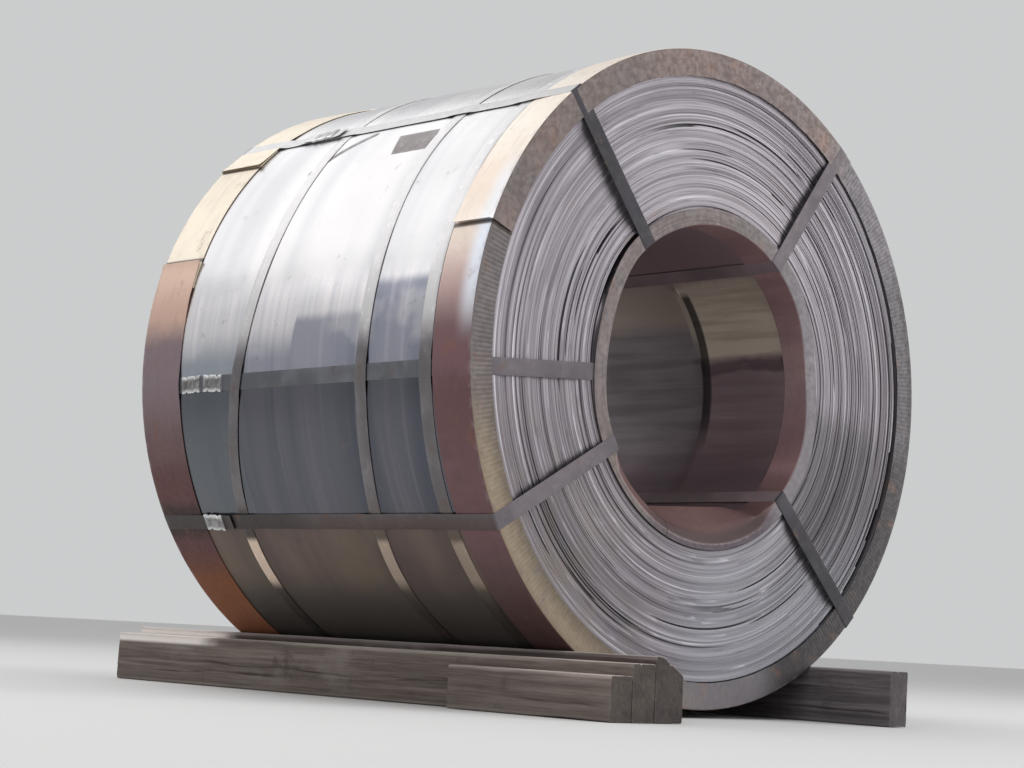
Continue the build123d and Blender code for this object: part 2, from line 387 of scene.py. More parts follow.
def skin_look():
    """The outer wrap: painted reflections, bright above and slate in blocks with a straight upper edge, then
    brown dust with a painted reflection of the ground and painted black shade under.
    """
    m = Look("strip_skin")
    up, photo_side = m.up, m.photo_side
    hidden_side = 1.0 - photo_side
    grain = m.turned_noise(0.0, 900.0, 2.0, 3.0, 0.6)
    bands = m.noise(m.join(m.y * 9.0, m.z * 0.7, m.x * 0.7), 1.0, 2.0, 0.5)
    narrow = m.noise(m.join(m.y * 46.0, m.z, 3.0), 1.0, 2.0, 0.5)
    cloud = m.noise(m.place, 3.2, 5.0, 0.6)
    speck = m.noise(m.place, 70.0, 4.0, 0.6)
    ragged = (m.noise(m.place, 9.0, 4.0, 0.6) - 0.5) * 0.05
    # Painted reflection of a bright sky: bright bands, silver highest up.
    bright = m.mix(m.ramp(bands, 0.36, 0.64), (0.56, 0.555, 0.575), (0.68, 0.665, 0.665))
    silver = m.mix(m.ramp(narrow, 0.34, 0.66), (0.70, 0.69, 0.72), (0.86, 0.82, 0.83))
    colour = m.mix(m.ramp(up + ragged, 0.26, 0.16), bright, silver)

    # Painted reflection of dark surroundings: slate in blocks with straight upper edges, lighter higher up,
    # and lighter and bluer towards the far end.
    slate = m.layers(
        m.mix(m.ramp(bands, 0.38, 0.62), (0.100, 0.106, 0.130), (0.145, 0.146, 0.170)),
        (m.ramp(narrow, 0.52, 0.68, 0.0, 0.5), (0.185, 0.182, 0.205)),
        (m.ramp(m.y, 0.18, 0.21, 0.0, 0.6), (0.165, 0.182, 0.195)),
        (m.ramp(up, -0.080, -0.072) * photo_side + m.ramp(up, -0.34, 0.10) * hidden_side, 2.6),
    )
    in_middle = m.ramp(m.y, 0.016, 0.004) * photo_side
    in_front = m.ramp(m.y, -0.200, -0.206) * photo_side
    above_edge = up - (in_middle * 0.070 + in_front * 0.085 + 0.035) + ragged * 0.5
    above_edge = above_edge * m.ramp(in_middle, 0.0, 1.0, 0.32, 1.0)
    slated = m.ramp(above_edge, 0.020, -0.020) * photo_side + m.ramp(up, 0.22, -0.12) * hidden_side
    # Patches of painted sheen that let the bright colour show through the slate.
    sheen_patches = m.patches(6.5, 3.0, 0.5, 0.52, 0.62) * m.ramp(up, -0.02, 0.03)

    # Brown low down: a dusty film, rougher and less metallic, with a painted reflection of the dark ground.
    shade_and_grime = m.ramp(up + (speck - 0.5) * 0.05, -0.50, -0.56)
    brown = m.layers(
        m.mix(m.ramp(bands, 0.36, 0.64), (0.112, 0.074, 0.064), (0.175, 0.120, 0.092)),
        (m.ramp(cloud, 0.46, 0.60, 0.0, 0.6), (0.185, 0.142, 0.092)),
        (m.patches(5.5, 4.0, 0.6, 0.52, 0.64, 0.0, 0.5), (0.082, 0.064, 0.060)),
    )
    black, spot = (0.056, 0.050, 0.046), (0.20, 0.16, 0.13)
    patch, dark_line = (0.120, 0.098, 0.096), (0.075, 0.068, 0.066)
    colour = m.layers(
        colour,
        (slated * (1.0 - sheen_patches * 0.35), slate),
        (shade_and_grime * 0.90, brown),
        # Painted shade underneath, black.
        (m.ramp(up + ragged, -0.68, -0.86) * 0.92, black),
        (m.patches(26.0, 6.0, 0.7, 0.61, 0.68) * m.ramp(cloud, 0.45, 0.6) * 0.35, spot),
        (patch_mask(m) * 0.95, patch),
        (dark_line_mask(m) * m.ramp(speck, 0.30, 0.60, 0.70, 0.95), dark_line),
    )
    rough = m.ramp(cloud, 0.3, 0.7, 0.22, 0.36) + shade_and_grime * 0.24
    return m.finish(colour, rough, 1.0 - shade_and_grime * 0.55, grain + bands * 2.0, 0.10, 0.0006)


def dark_line_mask(m):
    """A thin dark line that runs slantwise over the top of the barrel, a little bowed."""
    start_angle, start_y, slant, length, bow, soft = 2.314, 0.037, math.radians(45.5), 0.168, 0.010, 0.004
    a, b = (m.angle - start_angle) * (OUTSIDE * MM), m.y - start_y
    along = a * math.cos(slant) + b * math.sin(slant)
    across = a * math.sin(slant) - b * math.cos(slant) + m.math("SINE", along * (math.pi / length)) * bow
    on_length = m.close(along, length / 2, length / 2 + soft, length / 2 - soft)
    return on_length * m.ramp(abs(across), 0.0100, 0.0060)


def patch_mask(m):
    """The dark rectangle near the top of the barrel, a little askew."""
    middle_angle, middle_y, skew = 2.412, -0.128, 0.25
    a = m.angle - middle_angle
    b = m.y - middle_y + a * skew
    box = m.ramp(abs(a), 0.054, 0.048) * m.ramp(abs(b), 0.062, 0.056)
    return box * m.patches(60.0, 3.0, 0.55, 0.20, 0.60, 0.80, 1.0)


def bore_look():
    """Inside of the bore: maroon above, a tan stretch of painted light, then dull slate deep in, lit higher
    up by painted light, and brown at the mouth, with a painted shadow beside the step where the inner wrap
    ends, a painted highlight on the step's edge and painted shade low down."""
    m = Look("strip_bore")
    grain = m.turned_noise(0.0, 500.0, 2.5, 3.0, 0.6)
    cloud = m.noise(m.place, 6.0, 5.0, 0.6)
    streak = m.noise(m.join(m.x * 30.0, m.y * 3.0, m.z * 44.0), 1.0, 4.0, 0.6)
    height = m.z + (cloud - 0.5) * 0.050
    deep = m.mix(m.ramp(streak, 0.38, 0.64), (0.195, 0.172, 0.184), (0.265, 0.238, 0.250))
    # Painted light: the deep part lighter higher up.
    deep = m.mix(m.ramp(height, 0.135, 0.175), deep, (0.400, 0.335, 0.285))
    # Painted light on the lit stretch, in tan.
    tan = m.mix(m.ramp(streak, 0.34, 0.62), (0.520, 0.445, 0.360), (0.740, 0.650, 0.530))
    under_tan = m.close(height, 0.068, 0.016, 0.006) * m.ramp(cloud, 0.30, 0.45)
    mouth = m.layers(
        m.mix(m.ramp(streak, 0.36, 0.62), (0.255, 0.184, 0.200), (0.310, 0.235, 0.250)),
        (m.ramp(streak, 0.60, 0.70, 0.0, 0.6), (0.470, 0.410, 0.430)),
        (m.ramp(height, 0.078, 0.098), tan),
        (under_tan * 0.6, (0.090, 0.066, 0.075)),
    )
    # Painted shadow beside the step where the inner wrap ends, and a painted highlight on the step's edge.
    edge_shadow, edge_highlight = (0.022, 0.019, 0.021), (0.560, 0.490, 0.400)
    maroon, shade = (0.350, 0.250, 0.275), (0.165, 0.120, 0.135)
    below_maroon = m.ramp(m.z, 0.222, 0.206)
    in_edge_shadow = m.close(m.y, -0.217, 0.015, 0.009) * m.ramp(cloud, 0.22, 0.36) * m.ramp(m.z, -0.14, -0.02)
    at_edge = m.close(m.y, -0.201, 0.008, 0.004) * m.ramp(m.z, 0.10, 0.15)
    colour = m.layers(
        m.mix(m.ramp(m.y, -0.202, -0.208), deep, mouth),
        (in_edge_shadow * below_maroon * 0.9, edge_shadow),
        (at_edge * below_maroon * 0.75, edge_highlight),
        (m.ramp(height, 0.222, 0.245), maroon),
        (m.ramp(m.z, -0.05, -0.18) * 0.7, shade),
    )
    return m.finish(colour, m.ramp(cloud, 0.3, 0.7, 0.34, 0.48), 0.6, grain, 0.12, 0.0006)


# Looks of the guards

def guard_noises(m):
    """Clouds and runs that follow the coil, and a fine grain."""
    cloud = m.turned_noise(3.0, 3.0, 4.5, 5.0, 0.62)
    runs = m.turned_noise(50.0, 50.0, 6.0, 5.0, 0.7)
    return cloud, runs, m.noise(m.place, 90.0, 5.0, 0.65)


def lap_shadows(m, colour, laps):
    """Painted shadow in the corner beside the ends of lengths on top. A lap is an angle and the side that it
    is on.
    """
    for degrees, side in laps:
        past = (m.angle - math.radians(degrees)) * side
        dark_mark = m.ramp(past, 0.015, 0.008) * m.ramp(past, -0.004, -0.001)
        colour = m.mix(dark_mark * 0.85, colour, (0.045, 0.030, 0.024))
    return colour


def guard_look(name, barrel, face, dust_share, metal, sky=0.0, cold=(0.165, 0.155, 0.175), red=0.0, lined=0.1,
               painted_sun_and_shade=0.0, laps=()):
    """Painted guard: patches of two colours on each leg, rust, a worn heel, dust low on the left, painted
    shade under and in the crimp's grooves. Shares of more: sky for a painted reflection beside the heel, red
    for the bore's low part and painted shade on its rim, lined for lines along the face leg, and the last for
    painted sunlight in salmon and cream above and painted shade on the right."""
    m = Look(name)
    leg, up, radius = m.attribute("leg"), m.up, m.radius
    off_face = 1.0 - leg
    cloud, runs, fine = guard_noises(m)

    # Painted sunlight in salmon and cream high on the barrel leg, and a painted reflection of the sky beside
    # the heel.
    salmon, cream, sheen = (0.560, 0.400, 0.370), (0.780, 0.660, 0.570), (0.78, 0.83, 0.92)
    uneven = up + (cloud - 0.5) * 0.12
    near_heel = m.ramp(m.attribute("reach"), 0.85, 0.20) * m.ramp(up, -0.03, 0.16) * m.ramp(up, 0.62, 0.45)
    on_barrel = m.layers(
        m.mix(m.ramp(cloud, 0.36, 0.64), *barrel),
        (m.ramp(runs, 0.50, 0.66, 0.0, 0.25), 0.62),
        (m.ramp(uneven, 0.00, 0.20) * m.photo_side * painted_sun_and_shade, salmon),
        (m.ramp(uneven, 0.17, 0.32) * m.photo_side * painted_sun_and_shade, cream),
        (near_heel * m.photo_side * sky, sheen),
    )

    lines = m.turned_noise(420.0, 0.0, 1.4, 3.0, 0.6)
    low_shade, rim_shade = (0.026, 0.024, 0.028), (0.050, 0.046, 0.053)
    low_right = m.around(320, 25, 10) * m.ramp(radius, 0.643, 0.638, 0.60, 0.97)
    right_rim = m.around(2, 18, 12) * m.ramp(radius, 0.618, 0.632, 0.45, 0.85)
    on_face = m.layers(
        m.mix(m.ramp(cloud, 0.38, 0.62), *face),
        (m.ramp(fine, 0.50, 0.66, 0.0, 0.3), 0.78),
        (m.ramp(lines, 0.44, 0.58, 0.0, lined), 0.62),
        (m.ramp(m.x - m.z * 0.8, -0.14, 0.10) * 0.85, cold),
        (low_right * painted_sun_and_shade, low_shade),
        (right_rim * painted_sun_and_shade, rim_shade),
    )

    steel, rust = (0.34, 0.31, 0.31), (0.240, 0.105, 0.050)
    # bore_rim is painted shade on the bore guard's low rim.
    low_red, bore_rim = (0.430, 0.245, 0.248), (0.066, 0.045, 0.062)
    # under is painted shade beneath the barrel leg, and rib is painted shade in the crimp's grooves.
    dust, under, rib = (0.275, 0.215, 0.150), (0.062, 0.034, 0.027), (0.045, 0.038, 0.040)
    worn = m.attribute("heel") * m.patches(34.0, 4.0, 0.7, 0.46, 0.64)
    low_rim = m.around(274, 26, 14) * m.ramp(radius, 0.290, 0.312)
    low_left = m.ramp(m.z, -0.02, -0.24) * m.ramp(m.x, 0.06, -0.26)
    dusty = (low_left + 0.06) * m.patches(17.0, 5.0, 0.65, 0.22, 0.46, 0.45, 1.0)
    colour = m.layers(
        m.mix(leg, on_barrel, on_face),
        (worn * 0.30, steel),
        (m.patches(21.0, 5.0, 0.6, 0.58, 0.70) * 0.28, rust),
        (m.ramp(m.z, -0.16, -0.24) * off_face * red, low_red),
        (low_rim * (1.3 * red), bore_rim),
        (dusty * leg * dust_share, m.scaled(dust, m.ramp(radius, 0.588, 0.625, 0.55, 1.0))),
        (m.ramp(up, -0.50, -0.80) * off_face * 0.7, under),
        (m.attribute("rib") * leg * m.ramp(m.z, -0.22, 0.0, 0.15, 0.55), rib),
    )
    rough = m.ramp(fine, 0.35, 0.65, 0.30, 0.46) + leg * 0.22
    return m.finish(lap_shadows(m, colour, laps), rough, metal, fine + runs * 0.6, 0.22, 0.0010)


def far_guard_look(name, upper, laps=()):
    """Far guard: painted sunlight, cream on the upper lengths and orange on the others, then purple-grey,
    maroon, a band of painted shade and orange downwards.
    """
    m = Look(name)
    cloud, runs, fine = guard_noises(m)
    height = m.up + (cloud - 0.5) * 0.16
    if upper:
        # Painted sunlight: the upper lengths cream.
        colour = m.mix(m.ramp(height, 0.70, 0.36), (0.800, 0.700, 0.560), (0.930, 0.830, 0.680))
    else:
        purple, maroon, deep_maroon = (0.220, 0.160, 0.178), (0.175, 0.108, 0.110), (0.140, 0.066, 0.066)
        dark, orange = (0.060, 0.040, 0.038), (0.240, 0.085, 0.034)
        colour = m.layers(
            # Painted sunlight in orange high up, and a band of painted shade, dark, low down.
            m.mix(m.ramp(height, 0.32, 0.16), (0.740, 0.510, 0.400), (0.600, 0.395, 0.310)),
            (m.ramp(height, 0.16, 0.03), purple),
            (m.ramp(height, -0.05, -0.26), maroon),
            (m.ramp(height, -0.24, -0.40), deep_maroon),
            (m.ramp(height, -0.44, -0.50) * m.ramp(height, -0.62, -0.54), dark),
            (m.ramp(height, -0.62, -0.78), orange),
        )
    rust, steel = (0.230, 0.105, 0.060), (0.48, 0.42, 0.40)
    colour = m.layers(
        colour,
        (m.ramp(runs, 0.50, 0.66, 0.0, 0.25), 0.66),
        (m.patches(14.0, 6.0, 0.7, 0.57, 0.67) * 0.35, rust),
        (m.attribute("heel") * m.patches(34.0, 4.0, 0.7, 0.44, 0.62) * 0.5, steel),
    )
    rough = m.ramp(fine, 0.35, 0.65, 0.30, 0.48) + m.ramp(m.up, -0.05, -0.25, 0.0, 0.40)
    return m.finish(lap_shadows(m, colour, laps), rough, 0.20, fine + runs * 0.6, 0.22, 0.0010)


# Looks of the strapping and the timber

def strap_look(name, bright, on_face, on_side, low, rough=0.30, gleam=0.0, shade=0.16):
    """Steel strapping: a painted highlight on top, grey on the faces, dark with a worn film on the barrel's
    side, dusty and in painted shade under, brown in the bore. The gleam is a painted reflection low on the
    side, and shade is where the highlight on top starts."""
    m = Look(name)
    up, metal, face_metal = m.up, 0.8, 0.25
    scuff = m.noise(m.place, 45.0, 5.0, 0.65)
    broad = m.noise(m.place, 7.0, 3.0, 0.6)
    grain = m.noise(m.place, 220.0, 2.0)
    patchy = m.ramp(broad, 0.36, 0.64)
    face = m.ramp(abs(m.y), 0.4985, 0.4995)
    inside = m.ramp(m.radius, 0.315, 0.308) * (1.0 - face)
    top = m.ramp(up, shade, shade + 0.12) * m.ramp(m.radius, 0.60, 0.62)
    gleaming = m.ramp(up, -0.575, -0.60) * m.ramp(up + broad * 0.08, -0.74, -0.68)
    gleaming = gleaming * m.ramp(m.y, -0.30, 0.10, 0.42, 1.0)
    # Painted shade under the strap and on its far side, and a warm painted reflection, the gleam, low on the
    # side.
    under, far_shade = (0.058, 0.050, 0.046), (0.045, 0.042, 0.042)
    warm, rust = (0.88, 0.70, 0.56), (0.180, 0.110, 0.075)
    colour = m.layers(
        m.mix(m.ramp(broad, 0.38, 0.62), on_side, m.scaled(on_side, 0.72)),
        (m.ramp(up, -0.40, -0.58) * 0.9, low),
        (m.ramp(up, -0.74, -0.84) * 0.8, under),
        (m.ramp(m.y, -0.02, 0.12) * m.ramp(up, -0.46, -0.50, 0.0, 0.6), far_shade),
        (gleaming * gleam, warm),
        (top, bright),
        (face, m.mix(patchy, on_face, m.scaled(on_face, 0.70))),
        (m.ramp(scuff, 0.55, 0.66, 0.0, 0.4), 1.5),
        (m.patches(19.0, 5.0, 0.7, 0.59, 0.67) * (top * -0.35 + 0.45), rust),
        (inside, m.mix(patchy, (0.260, 0.200, 0.215), (0.180, 0.140, 0.150))),
    )
    worn = m.ramp(scuff, 0.3, 0.7, rough, rough + 0.18) + face * 0.30
    metallic = m.math("MAXIMUM", face, inside) * (face_metal - metal) + metal
    return m.finish(colour, worn, metallic, scuff + grain, 0.15, 0.0006, **{"Specular IOR Level": 0.32})


def seal_look():
    """Crimped sleeves: scuffed grey with painted highlights on the folded rims and darker notches."""
    m = Look("seal_steel")
    scuff = m.noise(m.place, 60.0, 5.0, 0.65)
    dark_mark, bright, rust = (0.085, 0.080, 0.080), (0.82, 0.82, 0.82), (0.190, 0.115, 0.080)
    colour = m.layers(
        m.mix(m.ramp(scuff, 0.36, 0.62), (0.215, 0.212, 0.215), (0.400, 0.395, 0.400)),
        (m.attribute("bite") * 0.55, dark_mark),
        # Painted highlights on the folded rims.
        (m.attribute("rim") * m.ramp(scuff, 0.30, 0.50, 0.55, 1.0), bright),
        (m.patches(33.0, 4.0, 0.7, 0.60, 0.68) * 0.35, rust),
    )
    return m.finish(colour, m.ramp(scuff, 0.3, 0.7, 0.20, 0.40), 0.85, scuff, 0.20, 0.0008)


def wood_look(name, side, dark, pale, seed, crest_height, end_tone, sunlit_share=0.85):
    """Weathered sawn timber: grey-brown with its grain along Y, stains, a top made paler with painted light
    and with painted sunlight at the far end, darker towards the foot, dull ends darkened with painted shade
    and painted shade in the cracks. The saw marks are relief alone."""
    m = Look(name)

    def grained(across, along, upward, detail, rough, distort=0.0):
        stretched = m.join(m.x * across, (m.y + seed) * along, m.z * upward)
        return m.noise(stretched, 1.0, detail, rough, distort)

    grain = grained(55.0, 1.6, 55.0, 5.0, 0.65, 0.35)
    fibre = grained(260.0, 7.0, 260.0, 4.0, 0.7)
    stain = grained(5.0, 3.2, 5.0, 5.0, 0.65)
    saw = grained(2.0, 130.0, 9.0, 2.0, 0.5)
    rings = m.noise(m.place, 38.0, 5.0, 0.7)
    top, foot = m.attribute("top"), FLOOR * MM
    # Painted sunlight on the top and its upper edge at the far end.
    sunlight, crack = (0.92, 0.85, 0.80), (0.020, 0.015, 0.013)
    sunlit_crest = m.ramp(m.z, crest_height - 0.022, crest_height - 0.014) * m.ramp(m.y + stain * 0.2, 0.56, 0.66)
    # The ends: end grain with rings, darkened by end_tone as painted shade.
    end = m.mix(m.ramp(stain, 0.40, 0.62), m.scaled(dark, 0.68 * end_tone), m.scaled(side, 0.85 * end_tone))
    end = m.mix(m.ramp(rings, 0.48, 0.64, 0.0, 0.6), end, m.scaled(dark, 0.45 * end_tone))
    colour = m.layers(
        m.mix(m.ramp(grain, 0.36, 0.64), dark, side),
        (m.ramp(fibre, 0.42, 0.64, 0.0, 0.55), 0.52),
        (m.ramp(stain, 0.50, 0.66, 0.0, 0.60), m.scaled(pale, 0.72)),
        (m.patches(11.0, 5.0, 0.7, 0.56, 0.70, 0.0, 0.6), m.scaled(dark, 0.5)),
        # Painted light: the top made paler.
        (top * m.ramp(grain, 0.30, 0.56, 0.40, 0.85), m.scaled(pale, 1.8)),
        (top * m.ramp(m.y + stain * 0.12, 0.60, 0.66) * sunlit_share, sunlight),
        (sunlit_crest * sunlit_share, sunlight),
        (m.attribute("worn") * m.ramp(grain, 0.34, 0.60, 0.15, 0.65), m.scaled(pale, 1.15)),
        # Darker towards the foot.
        (m.ramp(m.z, foot + 0.035, foot + 0.004, 0.0, 0.5), m.scaled(dark, 0.6)),
        (m.attribute("end") * 0.85, end),
        # Painted shade in the cracks.
        (m.ramp(m.attribute("crack"), 0.25, 0.95, 0.0, 0.60), crack),
    )
    bump = grain * 1.5 + (fibre + saw * 0.5)
    return m.finish(colour, m.ramp(fibre, 0.3, 0.7, 0.72, 0.92), 0.0, bump, 0.55, 0.0016)


# The coil

# Angles of the mesh's columns, with a close pair where the outer wrap ends
COLUMNS = 282
ANGLES = np.sort(np.append(np.arange(COLUMNS) * 360.0 / COLUMNS, [TAIL_ANGLE - 0.05, TAIL_ANGLE + 0.05]))
# Turns that stand open on the near face, as radius, first angle, last angle and depth
NEAR_GAPS = (
    (520, 206, 258, 6), (487, 248, 296, 7), (493, 286, 312, 6), (422, 280, 320, 6), (494, 76, 118, 6),
    (507, 56, 88, 6), (530, 42, 70, 6), (428, 50, 104, 5), (384, 130, 174, 6), (397, 152, 184, 5),
    (452, 206, 244, 4), (545, 340, 396, 4), (470, 330, 376, 4),
)
# Radius where the flat part of the opened guard ends
MOUTH = 324.0


def guard_shift(angles):
    """How far the near inner guard has sprung in from the bore's wall, on the left and more on the right."""
    left = 9.5 * np.clip(1 - (np.abs(apart(angles, 169)) / 31) ** 2, 0, 1) ** 1.5
    return left + 20.0 * hump(angles, 8, 21) + 3.5 * hump(angles, 108, 22)


def crevice(angles):
    """Width of the opening between the turns and the inner guard's face leg, on the left of the bore."""
    upper = 4.5 * smooth(angles, 131.5, 133.5) * (1 - smooth(angles, 140, 168))
    return upper + 1.2 * hump(angles, 176, 13)


def rim_gap(angles):
    """How wide the opening inside the near outer guard's face leg is. It is widest on the right."""
    right = 6.4 * hump(angles, -6, 30) + 7.0 * hump(angles, -28, 13)
    return 2.6 + right - 2.6 * smooth(np.abs(apart(angles, 345)), 72, 84)


def opened(angles):
    """How far the near inner guard's bend has opened out, low on the bore."""
    return window(angles % 360, 222, 297, 15)


def wrap_radius(angles):
    """Radius of the barrel, which falls to its least where the outer wrap ends."""
    return OUTSIDE - 0.42 - 1.6 * (1 - (angles - TAIL_ANGLE) % 360 / 360)


def face_depth(count, edges, angles, seed, side):
    """How far each turn's edge stands back from the face, and how much painted shade darkens the gap over it.
    """
    r = np.random.default_rng(seed)
    depth = np.zeros((count, len(angles)))
    gap_shade = np.zeros_like(depth)
    turn = 0
    while turn < count:
        size = int(r.integers(2, 9))
        step = r.uniform(0.0, 4.2) + 1.2 * wobble(angles, 360, 3, int(r.integers(1e6)))
        depth[turn:turn + size] += step
        turn += size
    for i in range(count):
        depth[i] += r.uniform(-0.8, 0.8) + 0.7 * wobble(angles, 360, 7, int(r.integers(1e6)), 0.85)
    middle = 0.5 * (edges[:-1] + edges[1:])[:, None]
    slide = 5.0 * np.sin(np.pi * np.clip((middle - 345) / 235, 0, 1)) ** 0.7
    depth = depth * window(middle, 352, 572, 16) * 0.9 + slide + 1.0
    gaps = [(*gap, 1.0) for gap in NEAR_GAPS] if side < 0 else []
    for _ in range(13 if side < 0 else 5):
        start = r.uniform(40, 400)
        radius, end = r.uniform(365, 560), start + r.uniform(16, 55)
        gaps.append((radius, start, end, r.uniform(3, 5), r.uniform(0.4, 0.8)))
    pitch = edges[1] - edges[0]
    for radius, start, end, deep, dark in gaps:
        line = radius + 1.6 * wobble(angles, 360, 4, int(radius))
        away = np.abs(apart(angles, (start + end) / 2))
        fade = 1 - smooth(away, (end - start) * 0.18, (end - start) * 0.5)
        share = (np.abs(middle - line) < pitch * 0.55) * fade
        depth += deep * share
        gap_shade = np.maximum(gap_shade, dark * share)
    if side < 0:
        wide = rim_gap(angles)
        at_rim = (middle > OUTER_RIM - wide) * (middle < OUTER_RIM + 2) * smooth(wide, 0.6, 3.0)
        lowest = INNER_RIM - 5 - guard_shift(angles)
        at_bore = (middle > lowest) * (middle < INNER_RIM) * smooth(crevice(angles), 0.5, 3.0)
        depth += 13 * at_rim + 20 * at_bore
        gap_shade = np.maximum(gap_shade, np.maximum(at_rim, at_bore))
    return np.maximum(depth, 0.35), gap_shade


def face_rings(side, count, seed):
    """Rings of one face from the bore out: two to a turn, so that each edge is flat and steps to the next."""
    edges = np.linspace(BORE, OUTSIDE - 0.4, count + 1)
    depth, gap_shade = face_depth(count, edges, ANGLES, seed, side)
    rng = np.random.default_rng(seed + 5)
    open_by = crevice(ANGLES) if side < 0 else np.zeros_like(ANGLES)
    rows, tones, gap_shades = [], [], []
    gap, free = 0.10, INNER_RIM - 0.1
    for i in range(count):
        tone = rng.uniform(0, 1) + 0.35 * wobble(ANGLES, 360, 6, int(rng.integers(1e6)), 0.9)
        if rng.uniform() < 0.13:
            tone = tone + 0.7 * smooth(wobble(ANGLES, 360, 5, int(rng.integers(1e6)), 0.9), -0.1, 0.4)
        for k, radius in enumerate((edges[i] + gap, edges[i + 1] - gap)):
            push = open_by * np.exp(-np.maximum(radius - 337, 0) / 30.0) * (radius > free)
            wave = 0.35 * wobble(ANGLES, 360, 5, 900 + i, 0.8) * window(radius, 345, 600, 8)
            back = depth[i] + 0.25 * (k - 0.5)
            if side < 0 and radius < 332:
                back = back + opened(ANGLES) * (2.0 + 0.75 * max(0.0, MOUTH - radius))
            rows.append(np.stack([radius + push + wave, side * (HALF - back)], -1))
            tones.append(np.clip(tone, 0, 1.6))
            gap_shades.append(gap_shade[i])
    if side < 0:
        cut = next(i for i in range(len(rows)) if rows[i][:, 0].min() > free)
        inner, outer = rows[cut - 1][:, 0], rows[cut][:, 0]
        shut = np.clip(open_by / 2.0, 0, 1)
        bottom = side * (HALF - 6 - 22 * shut)
        rows[cut:cut] = [np.stack([inner + (outer - inner) * share, bottom], -1) for share in (0.1, 0.9)]
        tones[cut:cut] = [np.full(len(ANGLES), 0.2)] * 2
        # Painted shade at the bottom of the crevice and on the turn beside it.
        gap_shades[cut:cut] = [shut] * 2
        gap_shades[cut - 1] = np.maximum(gap_shades[cut - 1], shut)
    return rows, tones, gap_shades


def coil_mesh():
    """The coil from its near face over the barrel and the far face back through the bore: points and faces,
    each face's material, and the tone and darkness of each point."""
    near, far = face_rings(-1, 104, 11), face_rings(1, 26, 23)
    barrel, bore = [], []
    for y in np.linspace(-HALF + 1.2, HALF - 1.2, 46):
        shape = 0.34 * wobble(y, 1000, 9, 3, 0.9) + 0.22 * wobble(ANGLES, 360, 5, int(abs(y)) // 60, 0.8)
        edge = 1.6 * (1 - smooth(HALF - abs(y), 0, 6))
        barrel.append(np.stack([wrap_radius(ANGLES) + shape * 0.9 - edge * 0.3, np.full(len(ANGLES), y)], -1))
    kink = [-207.0, -205.5]
    for y in sorted([*np.linspace(-HALF + 1.5, HALF - 1.5, 26), *kink], reverse=True):
        ease = smooth(y, -206.5, -205.0) * (1 - smooth(y, -190, 330))
        ease = ease * (0.08 + 0.92 * window(ANGLES, 22, 42, 12))
        radius = BORE - 0.2 - 2.2 * ease + 0.12 * wobble(ANGLES, 360, 6, int(abs(y)))
        place = y + (1.5 * wobble(ANGLES, 360, 4, 77) if abs(y + 206) < 3 else 0.0)
        place = np.maximum(place, -HALF + 1.5 + 15.5 * opened(ANGLES))
        bore.append(np.stack([radius, place], -1))
    rows = np.stack(near[0] + barrel + far[0][::-1] + bore)
    plain, clean = [np.full(len(ANGLES), 0.5)], [np.zeros(len(ANGLES))]
    tone = near[1] + plain * len(barrel) + far[1][::-1] + plain * len(bore)
    gap_shade = near[2] + clean * len(barrel) + far[2][::-1] + clean * len(bore)
    kind = np.repeat([0, 1, 0, 2], [len(near[0]), len(barrel), len(far[0]), len(bore)])
    kind = np.where(kind == np.roll(kind, -1), kind, 0)
    verts = polar(rows[..., 0], ANGLES[None, :], rows[..., 1])
    faces = grid_faces(*verts.shape[:2], wrap_rows=True, wrap_cols=True)
    return verts, faces, np.repeat(kind, len(ANGLES)), {"turn": np.stack(tone), "gap_shade": np.stack(gap_shade)}


# Guards

